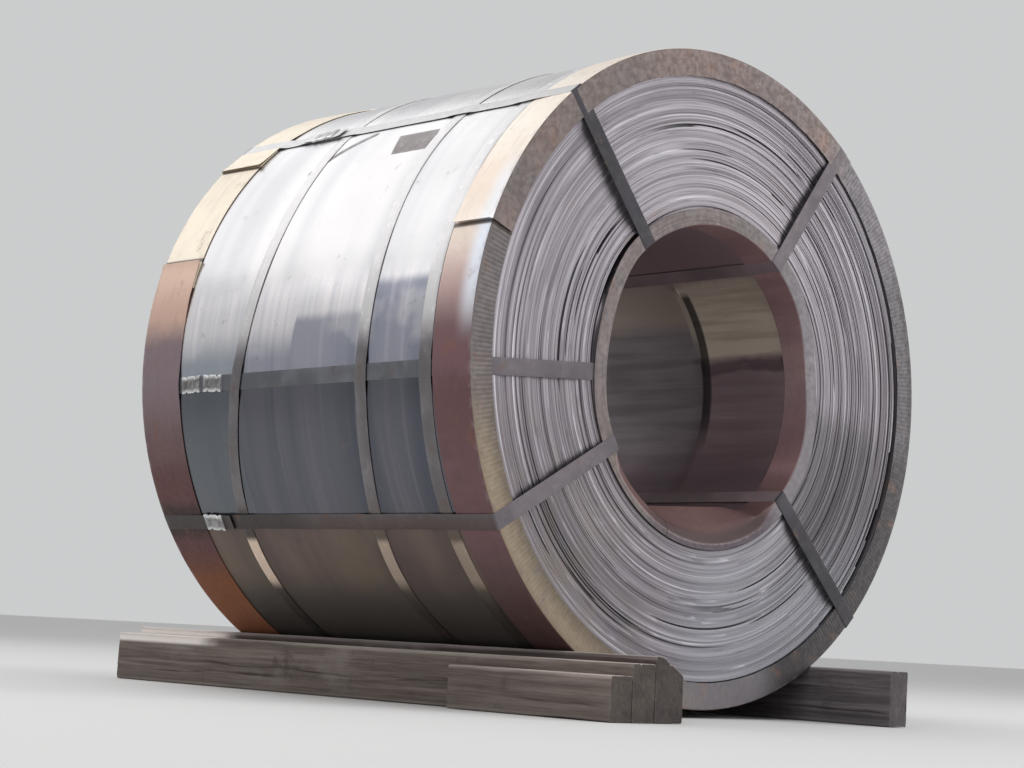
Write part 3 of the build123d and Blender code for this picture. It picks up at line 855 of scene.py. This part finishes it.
def guard_stations(side, base, face, leg, start, end, crimp, seed, flare_start, flare_end, per_mm):
    """Stations of an L-shaped length bent round the outer edge, its face leg crimped by the given depth."""
    steps = max(8, int(math.radians(end - start) * OUTSIDE / per_mm))
    angles = np.linspace(start, end, steps + 1)
    along = np.radians(angles - start) * OUTSIDE
    left = np.radians(end - angles) * OUTSIDE
    lift = flare_start * np.exp(-along / 16.0) + flare_end * np.exp(-left / 16.0)
    dent = 0.35 * wobble(along, 1300, 14, seed, 0.92) - 0.40
    loose = hump(angles, TUCKED_ANGLE, 2.6)
    if base > GUARD:
        loose = np.maximum(loose, 1 - smooth(np.minimum(along, left), 70, 150))
    settle = (base - OUTSIDE - 0.35) * (1 - loose)
    ribs = np.abs(((along / 8.8) % 1.0) * 2 - 1)
    fade = 0.65 + 0.35 * wobble(along, 900, 5, seed + 3)
    t = GUARD_T

    def bent(r, y, radius):
        """A quarter turn of the bend, from the barrel leg to the face leg."""
        turns = [math.pi / 2 * k / 4 for k in range(5)]
        return [(r - radius + radius * math.cos(a), y - radius + radius * math.sin(a), k / 4, 1)
                for k, a in enumerate(turns)]

    outer = [(base + t, face + t - back, 0, 0) for back in (leg, leg * 0.5, 9)]
    outer += bent(base + t, face + t, 3.0)
    for share in (0.12, 0.3, 0.55, 0.8, 1.0):
        outer.append((base - 2 - (base - 2 - OUTER_RIM) * share, face + t, 1, 0))
    inner = [(r - (t if leg_share < 0.5 else 0), y - (t if leg_share >= 0.5 else 0), leg_share, h)
             for r, y, leg_share, h in outer]
    inner[3:8] = bent(base, face, 1.8)
    rows, legs, heels, reaches, rib_marks = [], [], [], [], []
    for r, y, leg_share, h in outer + inner[::-1]:
        into = np.clip((base - 1 - r) / 50.0, 0, 1)
        bend = crimp * fade * ribs * into ** 0.5 if into > 0 else 0 * ribs
        rise = lift * (1.0 if leg_share < 0.5 else 0.35)
        out_y = y + bend + lift * (0.5 if leg_share >= 0.5 else 0.0)
        edge = 0.9 * wobble(along, 400, 9, seed + 9, 0.9) * (1 if into >= 1 else 0)
        free = np.clip(1 - (y - (face - leg)) / (0.6 * leg), 0, 1) * (leg_share < 0.5)
        radius = r + rise + dent * (leg_share < 0.3) * 0.6 + edge - settle * free
        rows.append(np.stack([radius, side * out_y], -1))
        legs.append(np.full(len(angles), float(leg_share > 0.5)))
        heels.append(np.full(len(angles), float(h)))
        reaches.append(np.full(len(angles), np.clip((face + t - y) / 60.0, 0, 1)))
        rib_marks.append(smooth(1 - ribs, 0.45, 0.95) * min(1.0, crimp) * float(into > 0.05))
    rows = np.stack(rows, 1)
    marks = {"leg": legs, "heel": heels, "reach": reaches, "rib": rib_marks}
    marks = {key: np.stack(values, 1) for key, values in marks.items()}
    return polar(rows[..., 0], angles[:, None], rows[..., 1]), marks


def add_outer_guard(node, side, raised, span, crimp, material, seed, flare_start=0.0, flare_end=0.0,
                    per_mm=5):
    """One length of outer guard. Raised lengths lie on the plain ones at their laps."""
    base, face = (RAISED, RAISED_FACE) if raised else (GUARD, GUARD_FACE)
    leg = NEAR_LEG if side < 0 else FAR_LEG
    flares = flare_start, flare_end
    stations, marks = guard_stations(side, base, face, leg, *span, crimp, seed, *flares, per_mm)
    cad_node = f"outer_guard_{node}"
    add_mesh(f"edge_{node}", stations, loft(stations), [material], [cad_node], 40, marks)


def inner_section(angles, low):
    """Outer surface of the inner guard, deep edge to rim: its radii, places out and legs at each angle."""
    t, bend = GUARD_T, 2.6
    face = GUARD_FACE + t
    arc_share = np.linspace(0, math.pi / 2, 5)
    radius = [INNER_WALL] * 3 + list(INNER_WALL + bend - bend * np.cos(arc_share)) + [312, 324, INNER_RIM]
    out = [face - 70, face - 30, face - bend - 1] + list(face - bend + bend * np.sin(arc_share)) + [face] * 3
    leg = [0, 0, 0, 0, 0, 0.5, 1, 1, 1, 1, 1]
    # Opened out: flat from the rim to the mouth, a slope to the wall, then up to a chord across the bore
    a = np.radians(angles)
    chord = np.minimum(INNER_WALL, 250 / np.maximum(0.1, 0.065 * np.cos(a) - np.sin(a)))
    step = [(MOUTH - 21 * (1 - k / 5), face - 14 * (1 - k / 5)) for k in range(6)]
    open_radius = [chord, 303 - (303 - chord) * 0.3] + [r + 0 * angles for r, _ in step]
    open_radius += [r + 0 * angles for r in (326, 330, INNER_RIM)]
    open_out = [face - 70, face - 31] + [y for _, y in step] + [face] * 3
    open_leg = [0, 0, 0, 0, 0, 0, 0, 0.2, 1, 1, 1]
    rows = []
    for k in range(len(radius)):
        ways = ((radius[k], open_radius[k]), (out[k], open_out[k]), (leg[k], open_leg[k]))
        rows.append([shut + (wide - shut) * low for shut, wide in ways])
    return [np.stack([row[i] + 0 * angles for row in rows], 1) for i in range(3)]


def add_inner_guard(end_name, side, material):
    """L-shaped length in the bore's edge, a little wavy at its rim and opened out low at the near end."""
    angles = np.linspace(INNER_JOINT + 0.12, INNER_JOINT + 360 - 0.12, 360)
    near = 1.0 if side < 0 else 0.0
    inward = guard_shift(angles % 360) * near
    radius, out, leg = inner_section(angles % 360, opened(angles) * near)
    depth_share = np.clip((out - GUARD_FACE + 69) / 69, 0, 1)
    rim = smooth(radius, 331, 334)
    radius = radius + rim * 0.8 * wobble(angles, 360, 17, 31, 0.93)[:, None] - inward[:, None] * depth_share
    out = out + 0.35 * (0.5 + 0.5 * wobble(angles, 360, 23, 37, 0.95))[:, None] * (radius > 308)
    ahead = np.stack([np.gradient(radius, axis=1), np.gradient(out, axis=1)], -1)
    ahead /= np.linalg.norm(ahead, axis=2)[..., None]
    back = np.stack([ahead[..., 1], -ahead[..., 0]], -1) * GUARD_T
    all_radii = np.concatenate([radius, (radius + back[..., 0])[:, ::-1]], 1)
    all_out = np.concatenate([out, (out + back[..., 1])[:, ::-1]], 1)
    legs = np.concatenate([leg, leg[:, ::-1]], 1)
    stations = polar(all_radii, angles[:, None], side * all_out)
    heels = window(all_radii, 302.5, 306, 0.5)
    marks = {"leg": legs, "heel": heels, "reach": np.ones_like(legs), "rib": np.zeros_like(legs)}
    node = f"inner_guard_{end_name}"
    add_mesh(f"bore_edge_{end_name}", stations, loft(stations), [material], [node], 40, marks)


# Straps and seals

def strap_points(path, angle, width, thickness, seed, slack, twist):
    """Stations of a strap along a path of (radius, y), pushed out by a little slack between its bends."""
    path = np.asarray(path, float)
    ahead = np.roll(path, -1, 0) - np.roll(path, 1, 0)
    ahead /= np.linalg.norm(ahead, axis=1)[:, None]
    normal = np.stack([-ahead[:, 1], ahead[:, 0]], -1)
    length = np.cumsum(np.linalg.norm(path - np.roll(path, 1, 0), axis=1))
    out = slack * (0.5 + 0.5 * wobble(length, length[-1], 12, seed, 0.95))
    lean = twist * wobble(length, length[-1], 9, seed + 1, 0.95)
    radial, across = axes_at(angle)
    rounded = (-0.5, -0.47, -0.25, 0, 0.25, 0.47, 0.5)
    sides = [(s, 1, 0.0 if abs(s) < 0.49 else -0.25) for s in rounded]
    sides += [(s, 0, 0.0 if abs(s) < 0.49 else 0.25) for s in rounded[::-1]]
    rows = []
    for s, top, trim in sides:
        lift = out + (thickness if top else 0) + trim * thickness + lean * s * 2
        p = path + normal * lift[:, None]
        rows.append(p[:, :1] * radial + p[:, 1:] * AXIS + s * width * across)
    return np.stack(rows, 1) * MM


def arc(cx, cy, radius, start, end, steps=4):
    """Points of an arc round a middle."""
    a = np.radians(np.linspace(start, end, steps + 1))
    return [(cx + radius * math.cos(t), cy + radius * math.sin(t)) for t in a]


def line(x0, y0, x1, y1, steps):
    """Points between two others, which are left out."""
    return [(x0 + (x1 - x0) * k / steps, y0 + (y1 - y0) * k / steps) for k in range(1, steps)]


def eye_path(bore, base, face, bend):
    """The loop in the plane through the axis, as (radius, y), anticlockwise so that its normal points out."""
    path = arc(base - bend, -face + bend, bend, 0, -90)
    path += line(base - bend, -face, bore + bend, -face, 26)
    path += arc(bore + bend, -face + bend, bend, -90, -180)
    path += line(bore, -face + bend, bore, face - bend, 24)
    path += arc(bore + bend, face - bend, bend, 180, 90)
    path += line(bore + bend, face, base - bend, face, 26)
    path += arc(base - bend, face - bend, bend, 90, 0)
    path += line(base, face - bend, base, -face + bend, 72)
    return path[::-1]


def drift(name, angles):
    """How far a belly band has slid along the barrel at an angle, on the side that the photo shows."""
    if name == "far":
        return 58 * hump(angles, 218, 30) - 43 * hump(angles, 150, 32)
    if name == "middle":
        return 34 * hump(angles, 222, 18) - 13 * hump(angles, 165, 25)
    return 7 * hump(angles, 215, 20)


def sunk(y, angle, seal_y):
    """How far a strap over the guards sinks: least over the bands and the seal, nothing over the guards."""
    low = 1.9 * (1 - window(y, seal_y - 70, seal_y + 62, 20))
    for name, middle in BANDS.items():
        place = middle + drift(name, angle)
        low = low * (1 - window(y, place - 20, place + 20, 26))
    return (SAG + low) * window(y, -380, 352, 18)


def add_eye_strap(name, angle, material, seed, seals, tucked=False):
    """A strap round the coil through the bore, with the tail that sticks out from under its seals."""
    if tucked:
        seat, slack, twist, rise = TUCKED, 0.15, 0.0, 1.0
        path = eye_path(TUCKED_BORE, TUCKED, TUCKED_FACE, 0.6)
    else:
        seat, slack, twist, rise = OVER - SAG, 0.45, 0.2, 2.0
        path = eye_path(STRAP_BORE, OVER, OVER_FACE, 2.4)
        path = [(r - sunk(y, angle, seals[0]) * (r > OUTSIDE), y) for r, y in path]
    parts = Parts()
    parts.add(strap_points(path, angle, STRAP, STRAP_T, seed, slack, twist), closed=True)
    middle = sum(seals) / len(seals)
    tail = [(seat + 1.05 + rise * smooth(k, 20, 24) ** 1.5, middle + 60 - 120 * k / 24) for k in range(25)]
    parts.add(open_strap(tail, angle, STRAP * 0.985, STRAP_T))
    node = f"eye_strap_{name}"
    add_mesh(f"strap_{name}", parts.all_verts(), parts.faces, [material], [node], 35)


def open_strap(path, angle, width, thickness):
    """A short straight length of strap, along a path of (radius, y)."""
    radial, across = axes_at(angle)
    shares = (-0.5, -0.25, 0, 0.25, 0.5)
    rows = []
    for s, top in [(s, 1) for s in shares] + [(s, 0) for s in shares[::-1]]:
        p = np.array([(r + top * thickness, y) for r, y in path])
        rows.append(p[:, :1] * radial + p[:, 1:] * AXIS + s * width * across)
    return np.stack(rows, 1) * MM


def seal_stations(height):
    """Stations of a crimped sleeve along its length, as (along, across, up)."""
    stations = []
    for along in (-29, -28.4, -24, -18.5, -15, -11.5, -8, 0, 8, 11.5, 15, 18.5, 24, 28.4, 29):
        pinch = max(0.0, 1 - abs(abs(along) - 15) / 4.2)
        end = 1.0 if abs(along) > 28.9 else 0.0
        half = 17.3 - 4.6 * pinch - 0.5 * end
        top = height - 0.25 * pinch - 0.5 * end
        ring = [(-half, 0.0), (-half - 0.1, top * 0.5), (-half + 0.5, top - 0.5), (-half + 1.6, top)]
        ring += [(-half * 0.5, top + 0.15), (0, top + 0.2), (half * 0.5, top + 0.15)]
        ring += [(half - 1.6, top), (half - 0.5, top - 0.5), (half + 0.1, top * 0.5), (half, 0.0)]
        stations.append([(along, across, up) for across, up in ring])
    return np.array(stations)


def add_seal(name, node, angle, base, y, height, material, turned=False, skew=0.0):
    """A sleeve whose length runs along the axis or, turned, round the barrel."""
    s = seal_stations(height)
    along, across, up = s[..., 0], s[..., 1], s[..., 2]
    cosine, sine = math.cos(skew), math.sin(skew)
    along, across = along * cosine - across * sine, along * sine + across * cosine
    by_axis, by_turn = (across, along) if turned else (along, across)
    radial, tangent = axes_at(angle)
    points = radial * (base + up)[..., None] + AXIS * (y + by_axis)[..., None] + tangent * by_turn[..., None]
    rims = np.repeat(smooth(np.abs(s[:1, :, 1]), 13.0, 15.0), len(s), 0)
    bites = np.repeat(window(np.abs(s[:, :1, 0]), 12.5, 17.5, 2.5), s.shape[1], 1)
    add_mesh(name, points * MM, loft(points), [material], [node], 35, {"rim": rims, "bite": bites})


def add_belly_band(name, y, lift_side, edge_lift, material, seed):
    """A band drawn on to the barrel, standing off where it crosses the tucked strap, with one edge raised."""
    angles = np.arange(360) * 1.0
    over_strap = 1 - smooth(np.abs(apart(angles, TUCKED_ANGLE)), 1.6, 4.5)
    seat = wrap_radius(angles) + 0.30
    seat = seat + (BAND_ON_STRAP - seat) * over_strap
    lifted = 0.15 + 0.85 * window(angles, 168, 300, 14)
    shift = 1.2 * wobble(angles, 360, 3, seed, 0.7) + drift(name, angles)
    shares = (-0.5, -0.47, -0.2, 0.2, 0.47, 0.5)
    section = [(s, STRAP_T * (0.6 if abs(s) > 0.49 else 1.0)) for s in shares]
    section += [(s, STRAP_T * (0.4 if abs(s) > 0.49 else 0.0)) for s in shares[::-1]]
    rows = []
    for s, up in section:
        wave = 1 + 0.4 * wobble(angles, 360, 5, seed + 2)
        raised = (0.5 + s * lift_side) ** 2 * edge_lift * lifted * wave
        for _, crossing, _, _ in STRAPS.values():
            raised = raised * smooth(np.abs(apart(angles, crossing)), 2.0, 6.0)
        rows.append(np.stack([np.minimum(seat + up + raised, LIMIT), y + shift + s * STRAP], -1))
    rows = np.stack(rows, 1)
    parts = Parts()
    parts.add(polar(rows[..., 0], angles[:, None], rows[..., 1]), closed=True)
    end = BAND_SEAL_ANGLE + 5.2
    tail = np.linspace(BAND_SEAL_ANGLE - 4.4, end, 14)
    lift = 2.0 * smooth(tail, end - 1.8, end)
    rows = [np.stack([BAND_TAIL + top * STRAP_T + lift, np.full(14, y + s * STRAP * 0.98)], -1)
            for s, top in [(-0.5, 1), (0, 1), (0.5, 1), (0.5, 0), (0, 0), (-0.5, 0)]]
    rows = np.stack(rows, 1)
    parts.add(polar(rows[..., 0], tail[:, None], rows[..., 1]))
    node = f"belly_band_{name}"
    add_mesh(f"band_{name}", parts.all_verts(), parts.faces, [material], [node], 35)


# Timber

def outline_points(corners, spacing, rounding):
    """Points round a closed outline with its corners rounded off."""
    points = []
    count = len(corners)
    for k in range(count):
        before, here, after = (np.array(corners[(k + d) % count], float) for d in (-1, 0, 1))
        back, ahead = np.linalg.norm(before - here), np.linalg.norm(after - here)
        to_before, to_after = (before - here) / back, (after - here) / ahead
        size = min(rounding, back / 2.5, ahead / 2.5)
        a, b = here + to_before * size, here + to_after * size
        for s in (0, 0.33, 0.67, 1):
            points.append((1 - s) ** 2 * a + 2 * s * (1 - s) * here + s * s * b)
        far = after - to_after * min(rounding, ahead / 2.5)
        steps = max(1, int(np.linalg.norm(far - b) / spacing))
        for s in range(1, steps):
            points.append(b + (far - b) * s / steps)
    return np.array(points)


def add_timber(name, node, corners, y0, y1, material, seed, cracks, rounding=5.0):
    """A weathered timber: grain relief along its length, worn corners, drying cracks and rough ends."""
    r = np.random.default_rng(seed)
    outline = outline_points(corners, 3.4, rounding)
    count = len(outline)
    centre = outline.mean(0)
    tangent = np.roll(outline, -1, 0) - np.roll(outline, 1, 0)
    normal = np.stack([tangent[:, 1], -tangent[:, 0]], -1)
    normal /= np.linalg.norm(normal, axis=1)[:, None]
    if np.mean(np.sum(normal * (outline - centre), 1)) < 0:
        normal = -normal
    ys = np.linspace(y0, y1, max(24, int((y1 - y0) / 11)))
    relief = np.zeros((len(ys), count))
    for k in range(count):
        relief[:, k] += 0.45 * wobble(ys, 1700, 9, seed * 100 + k, 0.85) + r.uniform(-0.35, 0.35)
    relief = relief - 0.55
    around = np.arange(count)
    relief += 0.8 * wobble(around[None, :], count, 4, seed + 5) * wobble(ys[:, None], 2100, 5, seed + 6) - 0.5
    crack_mark = np.zeros_like(relief)
    slide = np.zeros_like(relief)
    for share, start, end, depth in cracks:
        at = int(share * count) % count
        wander = 5.0 * wobble(ys, 900, 5, at) + 1.3 * wobble(ys, 260, 4, at + 1)
        along = window(ys, start + 20, end - 20, 90) * (0.7 + 0.3 * wobble(ys, 310, 5, at + 2))
        away = np.abs(apart(around * 360.0 / count, at * 360.0 / count)) * count / 360.0
        slide += wander[:, None] * np.exp(-(away / 4.0) ** 2)[None, :]
        relief[:, at] -= depth * along
        crack_mark[:, at] = np.maximum(crack_mark[:, at], along)
    for _ in range(26):
        row, col = int(r.integers(len(ys))), int(r.integers(count))
        wide, long = r.uniform(1, 2.5), r.uniform(1, 4)
        away_col = np.minimum(np.abs(around - col), count - np.abs(around - col))
        away_row = np.abs(np.arange(len(ys)) - row)
        bite = np.exp(-(away_row[:, None] / long) ** 2 - (away_col[None, :] / wide) ** 2)
        relief -= r.uniform(0.4, 1.8) * bite
    relief = np.minimum(relief, -0.05)
    forward = tangent / np.linalg.norm(tangent, axis=1)[:, None]
    section = outline[None] + normal[None] * relief[..., None] + forward[None] * slide[..., None]
    points = np.stack([section[..., 0], np.broadcast_to(ys[:, None], relief.shape), section[..., 1]], -1)
    tops = np.repeat((normal[None, :, 1] > 0.6) * 1.0, len(ys), 0)
    caps_before, caps_after = [], []
    for share in (0.97, 0.86, 0.68, 0.46, 0.22, 0.03):
        for caps, edge, direction in ((caps_before, points[0], -1), (caps_after, points[-1], 1)):
            middle = np.array([centre[0], edge[0, 1], centre[1]])
            ring = middle + (edge - middle) * share
            rough = 0.7 * wobble(around * (1 + share), count, 9, seed + int(share * 100), 0.95) + 0.5
            ring[:, 1] -= direction * np.maximum(rough, 0.1) * (1 if share < 0.95 else 0.3)
            caps.append(ring)
    points = np.concatenate([np.array(caps_before[::-1]), points, np.array(caps_after)])
    blank = np.zeros((len(caps_before), count))
    crack_mark = np.concatenate([blank, crack_mark, blank])
    tops = np.concatenate([blank, tops, blank])
    ends = np.concatenate([blank + 1, np.zeros_like(relief), blank + 1])
    turn = np.sum((np.roll(normal, -1, 0) - np.roll(normal, 1, 0)) ** 2, 1)
    worn = np.repeat(smooth(turn, 0.02, 0.15)[None, :], len(points), 0) * (1 - ends)
    add_mesh(name, points * MM, loft(points), [material], [node], 50,
             {"crack": crack_mark, "top": tops, "end": ends, "worn": worn})


# Build the pieces

verts, faces, kinds, marks = coil_mesh()
coil_looks = [ends_look(), skin_look(), bore_look()]
add_mesh("wound_strip", verts, faces, coil_looks, ["coil"], 30, marks, kinds)

near_guard = guard_look(
    "guard_near",
    barrel=((0.185, 0.093, 0.104), (0.135, 0.062, 0.066)),
    face=((0.175, 0.150, 0.150), (0.130, 0.110, 0.115)),
    dust_share=0.95, metal=0.30, sky=0.9, painted_sun_and_shade=1.0, laps=((NEAR_TOP_END, 1),))
# The raised top length: a copy of the guard's look with its barrel leg cream all over, painted sunlight.
top_guard = guard_look(
    "guard_near_top",
    barrel=((0.850, 0.785, 0.690), (0.800, 0.680, 0.580)),
    face=((0.180, 0.132, 0.120), (0.145, 0.120, 0.118)),
    dust_share=0.5, metal=0.40, sky=0.6)
inner_guard = guard_look(
    "guard_bore",
    barrel=((0.330, 0.195, 0.200), (0.250, 0.150, 0.158)),
    face=((0.190, 0.148, 0.146), (0.165, 0.138, 0.136)),
    dust_share=0.3, metal=0.15, cold=(0.165, 0.150, 0.165), red=0.70, lined=0.8)
far_upper_guard = far_guard_look("guard_far_top", True)
far_short_guard = far_guard_look("guard_far_short", True, ((FAR_SIDE_START, -1), (FAR_TOP_END, 1)))
far_guard = far_guard_look("guard_far", False)
add_outer_guard("near_side", -1, False, NEAR_SIDE, 1.5, near_guard, 1, per_mm=2.2)
add_outer_guard("near_lower", -1, False, NEAR_LOWER, 1.0, near_guard, 2, per_mm=2.2)
add_outer_guard("near_upper", -1, True, NEAR_UPPER, 0.10, top_guard, 3, flare_end=6.0)
add_outer_guard("far_short", 1, False, FAR_SHORT, 0.4, far_short_guard, 4)
add_outer_guard("far_lower", 1, False, FAR_LOWER, 1.0, far_guard, 5)
add_outer_guard("far_upper", 1, True, FAR_UPPER, 0.3, far_upper_guard, 6, flare_end=4.5)
add_outer_guard("far_side", 1, True, FAR_SIDE, 0.3, far_guard, 7, flare_start=4.0)
add_inner_guard("near", -1, inner_guard)
add_inner_guard("far", 1, inner_guard)

strap_steel = strap_look("strapping_grey", bright=(0.56, 0.55, 0.55), on_face=(0.175, 0.154, 0.170),
                         on_side=(0.190, 0.195, 0.215), low=(0.110, 0.072, 0.062))
# A darker copy of the grey strapping: painted shade for the upper left and lower right straps.
strap_dark = strap_look("strapping_dark", bright=(0.56, 0.55, 0.55), on_face=(0.062, 0.058, 0.067),
                        on_side=(0.105, 0.100, 0.104), low=(0.110, 0.072, 0.062))
band_steel = strap_look("strapping_band", bright=(0.66, 0.645, 0.65), on_face=(0.300, 0.290, 0.290),
                        on_side=(0.230, 0.215, 0.225), low=(0.150, 0.118, 0.090), rough=0.28, gleam=0.9,
                        shade=-0.02)
seal_steel = seal_look()
left_rows = [seal_y for seal_y, _ in LEFT_SEALS.values()]
add_eye_strap("left", TUCKED_ANGLE, strap_steel, 51, left_rows, tucked=True)
dark_straps = ("upper_left", "lower_right")
for seed, (name, (angle, _, seal_y, _)) in enumerate(STRAPS.items(), start=52):
    add_eye_strap(name, angle, strap_dark if name in dark_straps else strap_steel, seed, [seal_y])
for name, (seal_y, skew) in LEFT_SEALS.items():
    add_seal(f"sleeve_{name}", f"eye_seal_{name}", TUCKED_ANGLE, TUCKED - 0.1, seal_y, SEAL_HEIGHT,
             seal_steel, skew=skew)
for name, (_, angle, seal_y, skew) in STRAPS.items():
    add_seal(f"sleeve_{name}", f"eye_seal_{name}", angle, OVER - SAG - 0.1, seal_y, SEAL_HEIGHT,
             seal_steel, skew=skew)
# Each band's raised edge, how far it rises, and the seed of its waves
band_edges = {"near": (1, 0.5, 61), "middle": (-1, 0.6, 62), "far": (-1, 1.1, 63)}
for name, (raised_edge, edge_lift, seed) in band_edges.items():
    add_belly_band(name, BANDS[name], raised_edge, edge_lift, band_steel, seed)
    add_seal(f"band_sleeve_{name}", f"belly_seal_{name}", BAND_SEAL_ANGLE, OUTSIDE + 0.6, BANDS[name],
             BAND_SEAL_HEIGHT, seal_steel, turned=True, skew=0.03)

# Sides, tops and ends of the timbers. Each crack is a share of the way round, a start, an end and a depth.
CRADLE_OUT, CRADLE_IN, CRADLE_TOP, BEVEL_TOP, BEVEL_FOOT = -368.4, -295.4, -541.0, -351.4, -573.3
PLANK_OUT, PLANK_IN, PLANK_TOP = -425.8, -368.8, -555.0
BLOCK_OUT, BLOCK_IN, BLOCK_TOP = -480.2, -426.2, -577.0
CHOCK_IN, CHOCK_OUT, CHOCK_TOP = 333.0, 389.0, -548.0
FRONT, BACK = -728, 842


def box_outline(low, high, top):
    """Corners of a square-edged timber that stands on the floor."""
    return [(low, FLOOR), (low, top), (high, top), (high, FLOOR)]


plank_wood = wood_look("wood_plank", side=(0.200, 0.158, 0.138), dark=(0.112, 0.086, 0.075),
                       pale=(0.340, 0.295, 0.262), seed=0.0, crest_height=PLANK_TOP * MM, end_tone=0.45)
cradle_wood = wood_look("wood_cradle", side=(0.125, 0.095, 0.086), dark=(0.066, 0.050, 0.046),
                        pale=(0.270, 0.235, 0.225), seed=3.1, crest_height=CRADLE_TOP * MM, end_tone=0.50)
chock_wood = wood_look("wood_chock", side=(0.160, 0.140, 0.145), dark=(0.088, 0.076, 0.080),
                       pale=(0.270, 0.250, 0.250), seed=6.4, crest_height=0.0, end_tone=1.0, sunlit_share=0.0)
cradle_outline = [(CRADLE_OUT, FLOOR), (CRADLE_OUT, CRADLE_TOP), (BEVEL_TOP, CRADLE_TOP),
                  (CRADLE_IN, BEVEL_FOOT), (CRADLE_IN, FLOOR)]
plank_outline = box_outline(PLANK_OUT, PLANK_IN, PLANK_TOP)
block_outline = box_outline(BLOCK_OUT, BLOCK_IN, BLOCK_TOP)
chock_outline = box_outline(CHOCK_IN, CHOCK_OUT, CHOCK_TOP)
add_timber("timber_cradle", "cradle_timber", cradle_outline, FRONT, BACK, cradle_wood, 71,
           [(0.47, -728, -300, 4.0), (0.68, -700, 100, 3.0), (0.15, -200, 600, 4.0)])
add_timber("timber_plank", "front_plank", plank_outline, FRONT, BACK, plank_wood, 72,
           [(0.17, -500, 560, 3.0), (0.11, 240, 842, 2.4), (0.42, -728, -100, 3.5)])
add_timber("timber_block", "front_block", block_outline, FRONT, -312, plank_wood, 73,
           [(0.12, -728, -470, 2.2), (0.40, -600, -320, 3.0)])
add_timber("timber_chock", "rear_chock", chock_outline, -703, 867, chock_wood, 74,
           [(0.10, -703, -200, 4.0), (0.22, -500, 300, 3.0), (0.42, -703, 100, 4.0)])


# Stage, light and camera

FLOOR_REACH = 60.0
corners = [(x * FLOOR_REACH, y * FLOOR_REACH, FLOOR * MM) for x, y in ((-1, -1), (1, -1), (1, 1), (-1, 1))]
floor_mesh = bpy.data.meshes.new("floor")
floor_mesh.from_pydata(corners, [], [(0, 1, 2, 3)])
floor_mesh.materials.append(Look("stage_floor").finish((0.66, 0.655, 0.65), 0.85))
floor = bpy.data.objects.new("floor", floor_mesh)
bpy.context.scene.collection.objects.link(floor)

world = bpy.data.worlds.new("studio")
world.use_nodes = True
world.node_tree.nodes["Background"].inputs[0].default_value = (0.60, 0.605, 0.61, 1.0)
world.node_tree.nodes["Background"].inputs[1].default_value = 1.0
bpy.context.scene.world = world


def add_light(name, place, width, height, power):
    """A rectangular lamp that points at the middle of the coil. Its place and size are in metres."""
    data = bpy.data.lights.new(name, "AREA")
    data.shape = "RECTANGLE"
    data.size, data.size_y = width, height
    data.energy = power
    lamp = bpy.data.objects.new(name, data)
    lamp.location = place
    lamp.rotation_mode = "QUATERNION"
    lamp.rotation_quaternion = (-Vector(place)).to_track_quat("-Z", "Y")
    bpy.context.scene.collection.objects.link(lamp)


add_light("light_back", (-1.2, 4.2, 3.5), 7.0, 3.2, power=64)
add_light("light_top", (-1.2, -0.6, 4.4), 4.5, 4.5, power=100)
add_light("light_front", (4.4, -4.0, 1.5), 3.0, 3.0, power=150)
add_light("light_left", (-4.6, -3.6, 1.5), 2.6, 2.2, power=22)

# The photo's camera: its place and aim, how far it is turned and rolled, and its film and lens
EYE, AIM = Vector((-3.3026, -3.4412, -0.5225)), Vector((-0.053, 0.011, 0.005))
YAW, PITCH, ROLL = math.radians(60.5), math.radians(3.19), math.radians(2.2)
SENSOR, LENS = 36.0, 80.0
forward = Vector((math.sin(YAW) * math.cos(PITCH), math.cos(YAW) * math.cos(PITCH), math.sin(PITCH)))
level_right = Vector((math.cos(YAW), -math.sin(YAW), 0))
level_up = level_right.cross(forward)
photo_up = level_up * math.cos(ROLL) - level_right * math.sin(ROLL)
ahead = (AIM - EYE).normalized()
right = ahead.cross(photo_up).normalized()
camera_data = bpy.data.cameras.new("camera")
camera_data.sensor_width = SENSOR
camera_data.lens = LENS
camera_data.clip_start, camera_data.clip_end = 0.05, 200
camera = bpy.data.objects.new("camera", camera_data)
camera.location = EYE
camera.rotation_mode = "QUATERNION"
camera.rotation_quaternion = Matrix((right, right.cross(ahead), -ahead)).transposed().to_quaternion()
bpy.context.scene.collection.objects.link(camera)
bpy.context.scene.camera = camera
bpy.context.scene.view_settings.view_transform = "Standard"
